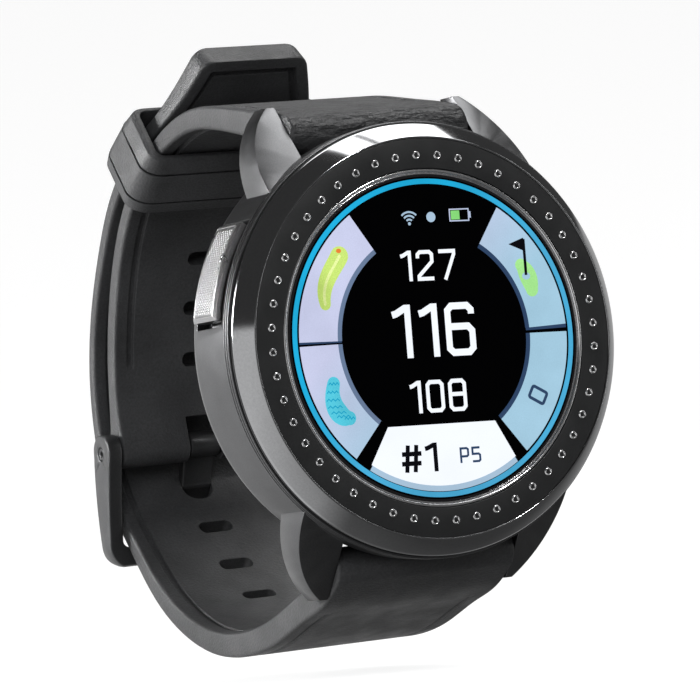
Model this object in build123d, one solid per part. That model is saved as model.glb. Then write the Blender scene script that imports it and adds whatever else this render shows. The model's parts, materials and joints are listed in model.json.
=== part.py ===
from build123d import *
import os
from math import cos, radians, sin

# Golf GPS watch on a buckled silicone band. Millimetres.
# +X points to 3 o'clock, +Z to 12 o'clock, and -Y is the way the dial faces.
# The origin is the centre of the rear cover's outer face, so the watch stands at Y < 0
# and the band loops back to Y > 0, round the wrist.

# ---- case ----
CASE_R = 23.35           # flank radius
CASE_FRONT = -10.75      # front edge of the flank
CASE_BACK = -1.2         # back edge of the flank
CASE_EDGE = 0.3          # small bevel at the flank's front edge
FLANK_ROUND_Y = -3.0     # where the flank starts to round off towards the back
BACK_ROUND_MID = (CASE_R - 0.27, -1.85)
BACK_EDGE_R = 22.3
CAVITY_R = 19.5
SHELF_R = 17.4           # inner edge of the shelf that carries the lens
SHELF_FRONT = CASE_FRONT
SHELF_BACK = -10.1
SKIRT_R = 21.0           # outside of the bezel ring's skirt, which sits in a groove in the case
SKIRT_T = 1.0
SKIRT_BACK = -9.5
COVER_RECESS_R = 21.65
COVER_SEAT = -2.2
SCREW_PITCH_R = 20.4
SCREW_R = 0.50
SCREW_HEAD_R = 1.00
SCREW_HOLE_R = 0.55
SCREW_END = -4.8

# ---- bezel, lens and display ----
FACE_Y = -13.0           # front face of the dial ring
BEZEL_R = 23.15
CHAMFER_BACK = -10.95
INSERT_OUT_R = 21.3
INSERT_IN_R = 18.1
INSERT_BACK = -12.6
STUD_COUNT = 48
STUD_PITCH_R = 19.5
STUD_R = 0.40
STUD_DEPTH = 0.35
STUD_DISH_R = 0.5
TRIM_OUT_R = 18.03
TRIM_IN_R = 17.45
TRIM_FRONT = -12.9
TRIM_LAND = 0.36         # flat top of the trim ring; inside it the ring slopes to the lens
LENS_R = 18.6            # flange that the lens is glued down by
LENS_FRONT = -12.3       # front of the flange
LENS_RAISED_R = 17.25    # raised middle inside the trim ring
LENS_RAISED_FRONT = -12.8
LENS_BACK = -11.2
TOUCH_FRONT = -11.0
DISPLAY_FRONT = -10.75
DISPLAY_BACK = -9.75
DISPLAY_R = 17.2

# ---- lugs and spring bars ----
LUG_IN_X = 11.0
LUG_ROOT_X = 16.2
LUG_ROOT_Z = 17.0
LUG_TIP_Z = 26.5
LUG_SLOPE = 0.84         # front facet: how fast it falls back towards the tip
LUG_TILT = 0.22          # and towards the outside
LUG_FRONT_Y = -8.0       # facet height at the inner face, at LUG_FRONT_Z
LUG_FRONT_Z = 20.4
LUG_BACK_Y = -4.3        # under side, at LUG_ROOT_Z
LUG_BACK_SLOPE = 0.45
STRAP_GAP_Z = 20.7       # flat floor between the lugs
STRAP_GAP_FRONT = -7.2
BAR_Y = -3.6
BAR_Z = 23.3
BAR_R = 0.90
BAR_HALF = 10.4
TIP_R = 0.40
TIP_REACH = 12.1

# ---- side button ----
BUTTON_ANGLE = 157.0
BUTTON_HALF_ANGLE = 13.2
BUTTON_FRONT = -8.8
BUTTON_BACK = -3.4
BUTTON_OUT_R = 24.2
BUTTON_IN_R = 22.6
SEAT_FLOOR_R = 21.9
SEAT_MARGIN = 0.25
STEM_R = 0.80
STEM_END_R = 18.4
BUTTON_Y = (BUTTON_FRONT + BUTTON_BACK) / 2
BUTTON_EDGE = 0.45
SEAL_POCKET = (1.35, 20.1, 20.8)      # bore radius, then from and to along the case radius
SPRING_POCKET = (1.55, 21.2, CASE_R)
SPRING_COIL_R = 1.2
SPRING_LEN = 1.1
CLIP_GROOVE = (18.85, 19.2)
SWITCH_FROM = 15.2
SWITCH_TO = 17.6
PLUNGER_R = 0.60

# ---- band: mid-line points (y, z, thickness) from the lug to the free end ----
BAND_HALF = 10.9
SHORT_STRAP = [
    (-3.4, 24.0, 3.2), (4.0, 25.6, 3.0), (11.0, 27.0, 2.7), (18.0, 27.75, 2.5),
    (25.4, 26.5, 2.3), (32.4, 23.3, 2.1), (38.3, 18.4, 2.1), (43.2, 10.6, 2.2),
    (45.9, 2.6, 2.2), (46.8, -5.4, 2.4),
]
LONG_STRAP = [
    (-3.4, -24.0, 3.2), (4.0, -27.3, 3.1), (11.5, -29.7, 3.0), (19.0, -30.9, 2.9),
    (26.5, -30.6, 2.8), (33.5, -28.5, 2.7), (40.4, -24.2, 2.5), (46.0, -18.3, 2.1),
    (50.0, -13.0, 2.0), (51.9, -6.5, 1.8), (51.5, 2.5, 1.6), (49.2, 9.0, 1.6),
    (45.4, 15.4, 1.7), (41.2, 20.6, 1.8), (37.2, 23.8, 1.8), (33.2, 26.3, 1.8),
    (29.4, 28.7, 2.0), (26.0, 31.6, 2.6), (22.9, 35.1, 3.1),
]
LUG_BARREL_R = 2.25
PIVOT_Y = 46.8           # buckle bar
PIVOT_Z = -7.9
PIVOT_R = 0.75
END_BARREL_R = 1.9
SLOT_HALF_X = 2.1
SLOT_H = 1.7
NOTCH_HALF = 2.25        # gap in the end barrel for the tongue
SHORT_SLOTS = ((41.3, 14.2, -58), (44.1, 8.4, -70), (45.9, 2.3, -81))    # y, z, slope
LONG_SLOTS = ((45.9, -18.4, 50), (41.6, -23.2, 43), (36.2, -27.1, 31))
TONGUE_SLOT = (50.0, -13.0, 62)
TONGUE_SLOT_H = 4.6
TAIL_START_Y = 32.5      # the free end narrows from here
TAIL_END_Y = 23.0
TAIL_END_HALF = 5.9

# ---- buckle and keeper ----
ARM_OUT_X = 13.0
ARM_IN_X = 11.3
ARM_TOP_R = 2.2          # rounded top of each arm
CROSS_Y = 47.8           # crossbar
CROSS_Z = -20.1
FRAME_CORNER = 2.6
TONGUE_HALF = 1.9
TONGUE_T = 1.2
KEEPER_Y = 31.8
KEEPER_Z = 25.0
KEEPER_SLOPE = 37.0      # degrees below horizontal, along the band
KEEPER_LEN = 8.4
KEEPER_WALL = 1.4
KEEPER_IN_X = 11.15
KEEPER_IN_H = 6.9
KEEPER_EDGE = 1.0
KEEPER_GROOVE = 0.35

# ---- inside the case: x0, x1, y0, y1, z0, z1 for the block-shaped parts ----
BATTERY = (-9.0, 13.0, -6.9, -3.7, -13.5, 8.5)
SHIELD = (-9.5, -1.6, -7.89, -6.5, 9.6, 15.8)
SHIELD_T = 0.2
CHIP = (-8.4, -2.8, -7.89, -6.95, 10.6, 14.8)
ANTENNA = (-0.3, 6.7, -7.89, -5.9, 9.8, 16.7)
TRAY_FRONT = -9.5
TRAY_BACK = -8.8
TRAY_POST_R = 1.0
TRAY_POSTS = ((13.0, 11.5), (13.0, -11.5), (-13.0, 12.0), (-13.0, -11.5))
BOARD_FRONT = -8.7
BOARD_BACK = -7.9
FLEX_HALF = 4.0
FLEX_T = 0.12
FLEX_Z = -18.3
FLEX_IN_Z = -15.0        # where the flex leaves the display
FLEX_SLOT = (-20.5, -16.5)
MOTOR_X = -14.2
MOTOR_Z = -5.0
MOTOR_R = 3.6
MOTOR_WALL = 0.25
MOTOR_FRONT = -7.0
MOTOR_BACK = -4.0
MOTOR_SHAFT_R = 0.4
PAD_X = (-4.5, -1.5, 1.5, 4.5)
PAD_Z = -8.0
PAD_R = 0.82
HOLDER_HALF_X = 6.5
HOLDER_HALF_Z = 1.7

FIT = 0.05               # running clearance
GAP = 0.02               # gap between parts seated in each other
BEYOND = 30.0            # larger than the watch, for cutting right through


def around_y(outline):
    """Solid of revolution about the Y axis from (radius, y) points."""
    face = make_face(Polyline(*[(r, y, 0) for r, y in outline], close=True))
    return revolve(face, Axis.Y)


def disc(radius, front, back, x=0.0, z=0.0):
    """Cylinder along Y between two depths."""
    place = Pos(x, (front + back) / 2, z) * Rot(90, 0, 0)
    return place * Cylinder(radius, abs(back - front))


def ring(outer, inner, front, back, x=0.0, z=0.0):
    return disc(outer, front, back, x, z) - disc(inner, front - 1, back + 1, x, z)


def block(x0, x1, y0, y1, z0, z1):
    """Box between two corners."""
    centre = Pos((x0 + x1) / 2, (y0 + y1) / 2, (z0 + z1) / 2)
    return centre * Box(abs(x1 - x0), abs(y1 - y0), abs(z1 - z0))


def rod(radius, x0, x1, y, z):
    """Cylinder along X."""
    return Pos((x0 + x1) / 2, y, z) * Rot(0, 90, 0) * Cylinder(radius, abs(x1 - x0))


def radial_rod(radius, r0, r1, angle=BUTTON_ANGLE, y=BUTTON_Y):
    """Cylinder along the case radius at an angle from +X towards +Z."""
    middle = (r0 + r1) / 2
    place = Pos(middle * cos(radians(angle)), y, middle * sin(radians(angle)))
    return place * Rot(0, 90 - angle, 0) * Cylinder(radius, abs(r1 - r0))


def side_extrude(face, half):
    """Extrude a face of the YZ plane equally to both sides."""
    return extrude(face, amount=half, both=True)


def yz(y, z):
    return (0.0, y, z)


def coil(radius, wire, pitch, length):
    """Helical spring along +Z from the origin."""
    path = Helix(pitch=pitch, height=length, radius=radius)
    section = Plane(path @ 0, z_dir=path % 0) * Circle(wire)
    return sweep(section, path=path, is_frenet=True)


# ------------------------------------------------------------------ case

def lug(side_x, side_z):
    """One horn: outline in the dial plane, sloped front facet, domed outer flank."""
    root_in = (LUG_IN_X * side_x, 12.0 * side_z)
    root_out = (LUG_ROOT_X * side_x, 12.0 * side_z)
    flank = (LUG_ROOT_X * side_x, LUG_ROOT_Z * side_z)
    bulge = (15.25 * side_x, 22.1 * side_z)
    tip_out = (11.9 * side_x, LUG_TIP_Z * side_z)
    tip_in = (LUG_IN_X * side_x, LUG_TIP_Z * side_z)
    plan = Plane(origin=(0, 1, 0), x_dir=(1, 0, 0), z_dir=(0, -1, 0))
    edges = [Line(root_in, root_out), Line(root_out, flank), ThreePointArc(flank, bulge, tip_out),
             Line(tip_out, tip_in), Line(tip_in, root_in)]
    body = extrude(plan * make_face(edges), amount=1 - SHELF_FRONT)
    front = LUG_FRONT_Y - LUG_SLOPE * LUG_FRONT_Z
    normal = Vector(LUG_TILT * side_x, -1.0, LUG_SLOPE * side_z)
    facet = Plane(origin=(LUG_IN_X * side_x, front, 0), z_dir=normal)
    body = split(body, bisect_by=facet, keep=Keep.BOTTOM)
    under = Plane(origin=(0, LUG_BACK_Y, LUG_ROOT_Z * side_z), z_dir=(0, 1.0, -LUG_BACK_SLOPE * side_z))
    return split(body, bisect_by=under, keep=Keep.BOTTOM)


def case_shell():
    flank = [
        Line((0, CASE_FRONT), (CASE_R - CASE_EDGE, CASE_FRONT)),
        Line((CASE_R - CASE_EDGE, CASE_FRONT), (CASE_R, CASE_FRONT + CASE_EDGE)),
        Line((CASE_R, CASE_FRONT + CASE_EDGE), (CASE_R, FLANK_ROUND_Y)),
        ThreePointArc((CASE_R, FLANK_ROUND_Y), BACK_ROUND_MID, (BACK_EDGE_R, CASE_BACK)),
        Line((BACK_EDGE_R, CASE_BACK), (0, CASE_BACK)),
        Line((0, CASE_BACK), (0, CASE_FRONT)),
    ]
    return revolve(make_face(flank), Axis.Y)


def cover_outline(radius, front, back):
    """Round plate with flats where the strap ends pass between the lugs."""
    half_z = STRAP_GAP_Z - 0.5
    flats = block(-BEYOND, BEYOND, front, back, -half_z, half_z)
    return disc(radius, front, back) & flats


def mid_case():
    body = case_shell()
    for side_z in (1, -1):
        gap = (STRAP_GAP_Z * side_z, BEYOND * side_z)
        body -= block(-LUG_IN_X, LUG_IN_X, STRAP_GAP_FRONT, 5, min(gap), max(gap))
    horns = [lug(side_x, side_z) for side_x in (1, -1) for side_z in (1, -1)]
    for horn in horns:
        body += horn
    body -= ring(SKIRT_R, SKIRT_R - SKIRT_T, SHELF_FRONT - 0.5, SKIRT_BACK)
    body -= disc(SHELF_R, SHELF_FRONT - 1, SHELF_BACK)
    body -= disc(CAVITY_R, SHELF_BACK, 5)
    body -= cover_outline(COVER_RECESS_R, COVER_SEAT, 5)
    for x, z in screw_places():
        body -= disc(SCREW_HOLE_R, SCREW_END - 0.4, 0, x, z)
    for side_x in (1, -1):
        for side_z in (1, -1):
            hole_end = TIP_REACH + 0.25
            body -= rod(TIP_R + FIT, (LUG_IN_X - 0.5) * side_x, hole_end * side_x, BAR_Y, BAR_Z * side_z)
    body -= sector(SEAT_FLOOR_R, CASE_R + 3, BUTTON_HALF_ANGLE + 1.6,
                   BUTTON_FRONT - SEAT_MARGIN, BUTTON_BACK + SEAT_MARGIN)
    body -= radial_rod(STEM_R + FIT, CAVITY_R - 1, CASE_R)
    body -= radial_rod(*SEAL_POCKET)
    body -= radial_rod(*SPRING_POCKET)
    return body


def sector(inner, outer, half_angle, front, back):
    """Slice of a tube round the Y axis, centred on the button's angle."""
    tube = ring(outer, inner, front, back)
    reach = 40.0
    corners = [(0, 0)]
    for turn in (-half_angle, 0, half_angle):
        angle = radians(BUTTON_ANGLE + turn)
        corners.append((reach * cos(angle), reach * sin(angle)))
    plan = Plane(origin=(0, back + 1, 0), x_dir=(1, 0, 0), z_dir=(0, -1, 0))
    wedge = extrude(plan * make_face(Polyline(*corners, close=True)), amount=back - front + 2)
    return tube & wedge


def screw_places():
    places = []
    for quarter in range(4):
        angle = radians(45 + 90 * quarter)
        places.append((SCREW_PITCH_R * cos(angle), SCREW_PITCH_R * sin(angle)))
    return places


def bezel_ring():
    """Dial ring: a bed for the insert, the outer chamfer, and a skirt that sits in the case."""
    foot = CASE_FRONT - GAP
    over_lens = LENS_FRONT - GAP
    skirt_out = SKIRT_R - GAP
    skirt_in = SKIRT_R - SKIRT_T + FIT
    skirt_end = SKIRT_BACK - FIT
    bore = INSERT_IN_R - FIT
    round_lens = LENS_R + 0.08
    return around_y([
        (bore, INSERT_BACK), (INSERT_OUT_R, INSERT_BACK), (INSERT_OUT_R, FACE_Y + GAP),
        (INSERT_OUT_R + 0.12, FACE_Y), (BEZEL_R, CHAMFER_BACK), (BEZEL_R, foot), (skirt_out, foot),
        (skirt_out, skirt_end), (skirt_in, skirt_end), (skirt_in, foot), (round_lens, foot),
        (round_lens, over_lens), (bore, over_lens),
    ])


def stud_angles():
    return [360.0 * index / STUD_COUNT for index in range(STUD_COUNT)]


def bezel_insert():
    body = ring(INSERT_OUT_R - GAP, INSERT_IN_R, FACE_Y, INSERT_BACK - GAP)
    holes = []
    for angle in stud_angles():
        x = STUD_PITCH_R * cos(radians(angle))
        z = STUD_PITCH_R * sin(radians(angle))
        holes.append(disc(STUD_R + 0.01, FACE_Y - 1, FACE_Y + STUD_DEPTH, x, z))
    return body - holes


def bezel_studs():
    """Polished cups: short pins with a shallow spherical dish in the end."""
    studs = []
    for angle in stud_angles():
        x = STUD_PITCH_R * cos(radians(angle))
        z = STUD_PITCH_R * sin(radians(angle))
        pin = disc(STUD_R, FACE_Y - 0.03, FACE_Y + STUD_DEPTH - 0.01, x, z)
        studs.append(pin - Pos(x, FACE_Y - 0.8 * STUD_DISH_R, z) * Sphere(STUD_DISH_R))
    return Compound(children=studs)


def trim_ring():
    land_r = TRIM_OUT_R - TRIM_LAND
    seat = LENS_FRONT - GAP
    return around_y([(TRIM_IN_R, seat), (TRIM_IN_R, TRIM_FRONT + 0.32), (land_r, TRIM_FRONT),
                     (TRIM_OUT_R, TRIM_FRONT), (TRIM_OUT_R, seat)])


def lens():
    """Glass with a flange under the dial ring and a raised middle."""
    edge = 0.15
    return around_y([(0, LENS_RAISED_FRONT), (LENS_RAISED_R - edge, LENS_RAISED_FRONT),
                     (LENS_RAISED_R, LENS_RAISED_FRONT + edge), (LENS_RAISED_R, LENS_FRONT),
                     (LENS_R - edge, LENS_FRONT), (LENS_R, LENS_FRONT + edge), (LENS_R, LENS_BACK),
                     (0, LENS_BACK)])


def display_flex():
    """Thin strip that folds from the back of the display round to the board."""
    front = DISPLAY_BACK + 0.03
    back = BOARD_FRONT + 1.05
    flex = block(-FLEX_HALF, FLEX_HALF, front, front + FLEX_T, FLEX_Z, FLEX_IN_Z)
    flex += block(-FLEX_HALF, FLEX_HALF, front, back, FLEX_Z, FLEX_Z + FLEX_T)
    return flex + block(-FLEX_HALF, FLEX_HALF, back - FLEX_T, back, FLEX_Z, FLEX_IN_Z - 0.6)


def display_parts():
    return {
        "lens": lens(),
        "lens_gasket": ring(LENS_R, SHELF_R + 0.1, LENS_BACK + GAP, SHELF_FRONT - GAP),
        "touch_panel": disc(DISPLAY_R, TOUCH_FRONT, TOUCH_FRONT + 0.2),
        "display_panel": disc(DISPLAY_R - 0.1, DISPLAY_FRONT, DISPLAY_BACK),
        "display_flex": display_flex(),
    }


# ------------------------------------------------------------------ inside the case

def inner_tray():
    """Moulded tray that carries the display in front and the board behind."""
    body = disc(CAVITY_R - 0.1, TRAY_FRONT, TRAY_BACK)
    body += ring(CAVITY_R - 0.1, DISPLAY_R + 0.1, SHELF_BACK + FIT, TRAY_BACK)
    body -= block(-FLEX_HALF - 0.5, FLEX_HALF + 0.5, -12, -5, *FLEX_SLOT)
    for x, z in TRAY_POSTS:
        body += disc(TRAY_POST_R, TRAY_BACK - 0.2, BOARD_FRONT - GAP, x, z)
    return body


def main_board():
    body = disc(CAVITY_R - 0.5, BOARD_FRONT, BOARD_BACK)
    return body - block(-FLEX_HALF - 0.6, FLEX_HALF + 0.6, -12, -5, FLEX_Z - 1.7, FLEX_Z + 0.7)


def shield_can():
    x0, x1, y0, y1, z0, z1 = SHIELD
    wall = SHIELD_T
    return block(*SHIELD) - block(x0 + wall, x1 - wall, y0 - 1, y1 - wall, z0 + wall, z1 - wall)


def board_parts():
    x0, x1, y0, _, z0, z1 = BATTERY
    return {
        "main_board": main_board(),
        "processor_shield": shield_can(),
        "processor_chip": block(*CHIP),
        "gps_antenna": chamfer(block(*ANTENNA).edges().filter_by(Axis.Y), 0.6),
        "battery": fillet(block(*BATTERY).edges().filter_by(Axis.Y), 1.2),
        "battery_pad": block(x0 + 1, x1 - 1, BOARD_BACK + GAP, y0 - GAP, z0 + 1, z1 - 1),
        "inner_chassis": inner_tray(),
    }


def motor_parts():
    """Coin motor: cup, lid, fixed shaft and a half-round weight that spins on it."""
    rim = MOTOR_WALL
    cup = disc(MOTOR_R, MOTOR_FRONT, MOTOR_BACK, MOTOR_X, MOTOR_Z)
    cup -= disc(MOTOR_R - rim, MOTOR_FRONT + 0.3, 0, MOTOR_X, MOTOR_Z)
    front = MOTOR_FRONT + 0.6
    back = MOTOR_BACK - 0.6
    weight = disc(MOTOR_R - 2 * rim, front, back, MOTOR_X, MOTOR_Z)
    weight &= block(MOTOR_X - 5, MOTOR_X + 5, front, back, MOTOR_Z - 5, MOTOR_Z + 0.3)
    weight += disc(1.0, front, back, MOTOR_X, MOTOR_Z)
    weight -= disc(MOTOR_SHAFT_R + FIT, front - 1, back + 1, MOTOR_X, MOTOR_Z)
    lid_front = MOTOR_BACK - rim
    return {
        "motor_cup": cup,
        "motor_lid": disc(MOTOR_R - rim - FIT, lid_front, MOTOR_BACK, MOTOR_X, MOTOR_Z),
        "motor_shaft": disc(MOTOR_SHAFT_R, MOTOR_FRONT + 0.31, lid_front - 0.01, MOTOR_X, MOTOR_Z),
        "motor_weight": weight,
    }


def rear_cover():
    """Cover with a gentle dome, a seal groove round its spigot, screw seats and a contact window."""
    rim_r = COVER_RECESS_R - 0.1
    seat = COVER_SEAT + FIT
    spigot_r = 19.4
    groove_r = 18.8
    spigot_in = 17.8
    cover = around_y([
        (0, 0), (16.8, 0), (21.3, -1.15), (rim_r, -1.4), (rim_r, seat), (spigot_r, seat),
        (spigot_r, -2.55), (groove_r, -2.55), (groove_r, -3.25), (spigot_r, -3.25), (spigot_r, -3.6),
        (spigot_in, -3.6), (spigot_in, -1.2), (0, -1.2),
    ])
    edge_z = 20.1
    cover &= cover_outline(COVER_RECESS_R, -5, 2) & block(-BEYOND, BEYOND, -5, 2, -edge_z, edge_z)
    cover -= block(-HOLDER_HALF_X, HOLDER_HALF_X, -5, 2, PAD_Z - HOLDER_HALF_Z, PAD_Z + HOLDER_HALF_Z)
    for x, z in screw_places():
        cover -= disc(SCREW_R + 0.1, -5, 2, x, z)
        cover -= disc(SCREW_HEAD_R + FIT, -1.65, 2, x, z)
    return cover


def rear_screws():
    """Four cross-head screws."""
    slot_long, slot_wide, slot_deep = 1.4, 0.25, 0.5
    screws = []
    for x, z in screw_places():
        screw = disc(SCREW_HEAD_R, -1.6, -1.0, x, z) + disc(SCREW_R, SCREW_END, -1.6, x, z)
        screw -= Pos(x, -1.0, z) * Box(slot_long, slot_deep, slot_wide)
        screw -= Pos(x, -1.0, z) * Box(slot_wide, slot_deep, slot_long)
        screws.append(screw)
    return Compound(children=screws)


def rear_parts():
    half_x = HOLDER_HALF_X - FIT
    half_z = HOLDER_HALF_Z - FIT
    holder = block(-half_x, half_x, -1.8, -GAP, PAD_Z - half_z, PAD_Z + half_z)
    pads = []
    for x in PAD_X:
        holder -= disc(PAD_R + 0.03, -5, 2, x, PAD_Z)
        pads.append(disc(PAD_R, -2.1, -FIT, x, PAD_Z))
    seal = Rot(90, 0, 0) * Torus(19.14, 0.33)
    return {
        "rear_cover": rear_cover(),
        "rear_seal": Pos(0, -2.9, 0) * seal,
        "rear_screws": rear_screws(),
        "contact_holder": holder,
        "charge_contacts": Compound(children=pads),
    }


# ------------------------------------------------------------------ side button

def button_cap():
    body = sector(BUTTON_IN_R, BUTTON_OUT_R, BUTTON_HALF_ANGLE, BUTTON_FRONT, BUTTON_BACK)
    outer = body.faces().filter_by(GeomType.CYLINDER).sort_by(lambda f: f.area)[-1]
    return chamfer(outer.edges(), BUTTON_EDGE)


def on_button_axis(radius):
    """Place on the button's axis at a distance from the case's centre, with +Z pointing outwards."""
    angle = radians(BUTTON_ANGLE)
    return Pos(radius * cos(angle), BUTTON_Y, radius * sin(angle)) * Rot(0, 90 - BUTTON_ANGLE, 0)


def button_parts():
    socket_end = BUTTON_IN_R + 0.6
    clip_in, clip_out = CLIP_GROOVE
    stem = radial_rod(STEM_R, STEM_END_R, socket_end)
    stem -= ring_on_stem(STEM_R + 1, STEM_R - 0.25, clip_in, clip_out)
    cap = button_cap() - radial_rod(STEM_R + 0.01, BUTTON_IN_R - 1, socket_end + 0.01)
    spring_wire, spring_pitch = 0.09, 0.4
    spring_start = SPRING_POCKET[1] + 0.17
    spring = on_button_axis(spring_start) * coil(SPRING_COIL_R, spring_wire, spring_pitch, SPRING_LEN)
    seal_at = (SEAL_POCKET[1] + SEAL_POCKET[2]) / 2
    switch_mid = (SWITCH_FROM + SWITCH_TO) / 2
    body = on_button_axis(switch_mid) * Box(2.6, 3.4, SWITCH_TO - SWITCH_FROM)
    return {
        "side_button": cap,
        "button_stem": stem,
        "button_clip": ring_on_stem(1.4, STEM_R - 0.2, clip_in + 0.03, clip_out - 0.03),
        "button_spring": spring,
        "button_seal": on_button_axis(seal_at) * Torus(1.08, 0.26),
        "switch_body": body - radial_rod(PLUNGER_R + FIT, SWITCH_FROM + 0.7, SWITCH_TO + 0.4),
        "switch_plunger": radial_rod(PLUNGER_R, SWITCH_TO - 0.7, STEM_END_R - 0.03),
    }


def ring_on_stem(outer, inner, r0, r1):
    return radial_rod(outer, r0, r1) - radial_rod(inner, r0 - 1, r1 + 1)


# ------------------------------------------------------------------ spring bars

def bar_parts(name, side_z):
    """Spring bar: tube, coil inside it and a collared tip at each end."""
    z = BAR_Z * side_z
    bore = 0.62
    collar_from = 8.6
    collar_to = 10.7
    spring_half = collar_from - 0.25
    tube = rod(BAR_R, -BAR_HALF, BAR_HALF, BAR_Y, z) - rod(bore, -BEYOND, BEYOND, BAR_Y, z)
    parts = {name + "_bar_tube": tube}
    for word, side_x in (("left", -1), ("right", 1)):
        collar = rod(bore - FIT, collar_from * side_x, collar_to * side_x, BAR_Y, z)
        pin = rod(TIP_R, collar_to * side_x, TIP_REACH * side_x, BAR_Y, z)
        parts[name + "_bar_tip_" + word] = collar + pin
    spring = coil(0.42, 0.11, 1.6, 2 * spring_half)
    parts[name + "_bar_spring"] = Pos(-spring_half, BAR_Y, z) * Rot(0, 90, 0) * spring
    return parts


# ------------------------------------------------------------------ band

def ribbon_face(stations):
    """Closed outline of a strap of varying thickness about its mid-line, in the YZ plane."""
    middle = Spline(*[yz(y, z) for y, z, _ in stations])
    sides = {1: [], -1: []}
    for y, z, thick in stations:
        here = Vector(0, y, z)
        along = middle.tangent_at(middle.param_at_point(here))
        across = Vector(0, -along.Z, along.Y)
        for side in sides:
            sides[side].append(here + across * (side * thick / 2))
    upper = Spline(*sides[1])
    lower = Spline(*sides[-1])
    return make_face([upper, Line(upper @ 1, lower @ 1), lower, Line(lower @ 0, upper @ 0)])


def slot_cut(y, z, slope, height, half=SLOT_HALF_X):
    """Rounded slot across the band; slope is the band's direction there, in degrees."""
    place = Pos(0, y, z) * Rot(slope, 0, 0)
    return place * fillet(Box(2 * half, height, 12).edges().filter_by(Axis.Z), height * 0.45)


def short_strap():
    body = side_extrude(ribbon_face(SHORT_STRAP), BAND_HALF)
    body += rod(LUG_BARREL_R, -BAND_HALF, BAND_HALF, BAR_Y, BAR_Z)
    body += rod(END_BARREL_R, -BAND_HALF, BAND_HALF, PIVOT_Y, PIVOT_Z)
    body += side_extrude(neck_face(), BAND_HALF)
    body -= rod(BAR_R + FIT, -BEYOND, BEYOND, BAR_Y, BAR_Z)
    body -= rod(PIVOT_R + FIT, -BEYOND, BEYOND, PIVOT_Y, PIVOT_Z)
    body -= block(-NOTCH_HALF, NOTCH_HALF, PIVOT_Y - 5, PIVOT_Y + 5, PIVOT_Z - 5, PIVOT_Z + 3.4)
    for y, z, slope in SHORT_SLOTS:
        body -= slot_cut(y, z, slope, SLOT_H)
    return body


def neck_face():
    """Joins the short strap's end to the barrel round the buckle bar."""
    top = PIVOT_Z + 3.0
    return make_face(Polyline(yz(PIVOT_Y - 1.3, top), yz(PIVOT_Y + 1.2, top),
                              yz(PIVOT_Y + END_BARREL_R - 0.1, PIVOT_Z),
                              yz(PIVOT_Y - END_BARREL_R + 0.1, PIVOT_Z), close=True))


def long_strap():
    body = side_extrude(ribbon_face(LONG_STRAP), BAND_HALF)
    body += rod(LUG_BARREL_R, -BAND_HALF, BAND_HALF, BAR_Y, -BAR_Z)
    body -= rod(BAR_R + FIT, -BEYOND, BEYOND, BAR_Y, -BAR_Z)
    for y, z, slope in LONG_SLOTS:
        body -= slot_cut(y, z, slope, SLOT_H)
    body -= slot_cut(*TONGUE_SLOT, TONGUE_SLOT_H)
    return taper_tail(body)


def taper_tail(body):
    """Narrows the free end to a blunt trapezium."""
    past_end = TAIL_END_Y - 5
    outside = 20.0
    tail_low_z = 25.0
    for side in (1, -1):
        corner = Polyline((BAND_HALF * side, TAIL_START_Y), (TAIL_END_HALF * side, TAIL_END_Y),
                          (TAIL_END_HALF * side, past_end), (outside * side, past_end),
                          (outside * side, TAIL_START_Y), close=True)
        body -= extrude(Plane.XY.offset(tail_low_z) * make_face(corner), amount=20)
    return body


# ------------------------------------------------------------------ buckle and keeper

def buckle_frame():
    """U-shaped loop: two arms on the bar and a crossbar outside the long strap."""
    top_y = PIVOT_Y - 0.2
    front_top = yz(top_y - ARM_TOP_R, PIVOT_Z)
    back_top = yz(top_y + ARM_TOP_R, PIVOT_Z)
    front_low = yz(CROSS_Y - 1.0, CROSS_Z + 1.4)
    back_low = yz(CROSS_Y + 1.35, CROSS_Z + 0.5)
    outline = make_face([
        ThreePointArc(front_top, yz(top_y, PIVOT_Z + ARM_TOP_R), back_top),
        ThreePointArc(back_top, yz(PIVOT_Y + 2.6, -13.5), back_low),
        ThreePointArc(back_low, yz(CROSS_Y + 0.6, CROSS_Z - 1.0), yz(CROSS_Y - 1.0, CROSS_Z - 0.9)),
        Line(yz(CROSS_Y - 1.0, CROSS_Z - 0.9), front_low),
        ThreePointArc(front_low, yz(PIVOT_Y - 0.95, -13.2), front_top),
    ])
    body = side_extrude(outline, ARM_OUT_X)
    height = BEYOND
    bottom = CROSS_Z - 1.3
    loop = Pos(0, PIVOT_Y, bottom + height / 2) * Box(2 * ARM_OUT_X, 20, height)
    loop = fillet(loop.edges().filter_by(Axis.Y), FRAME_CORNER)
    window = Pos(0, PIVOT_Y, CROSS_Z + 1.1 + height / 2) * Box(2 * ARM_IN_X, 20, height)
    body = (body & loop) - fillet(window.edges().filter_by(Axis.Y), 0.8)
    return body - rod(PIVOT_R + FIT, -BEYOND, BEYOND, PIVOT_Y, PIVOT_Z)


def buckle_tongue():
    path = [yz(PIVOT_Y + 0.9, PIVOT_Z - 0.5), yz(PIVOT_Y + 2.9, PIVOT_Z - 4.6),
            yz(CROSS_Y + 4.1, CROSS_Z + 4.7), yz(CROSS_Y + 2.25, CROSS_Z - 1.2)]
    strip = side_extrude(stroke_face(path, TONGUE_T), TONGUE_HALF)
    knuckle_r = 1.55
    strip += rod(knuckle_r, -TONGUE_HALF, TONGUE_HALF, PIVOT_Y, PIVOT_Z)
    return strip - rod(PIVOT_R + FIT, -BEYOND, BEYOND, PIVOT_Y, PIVOT_Z)


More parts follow.
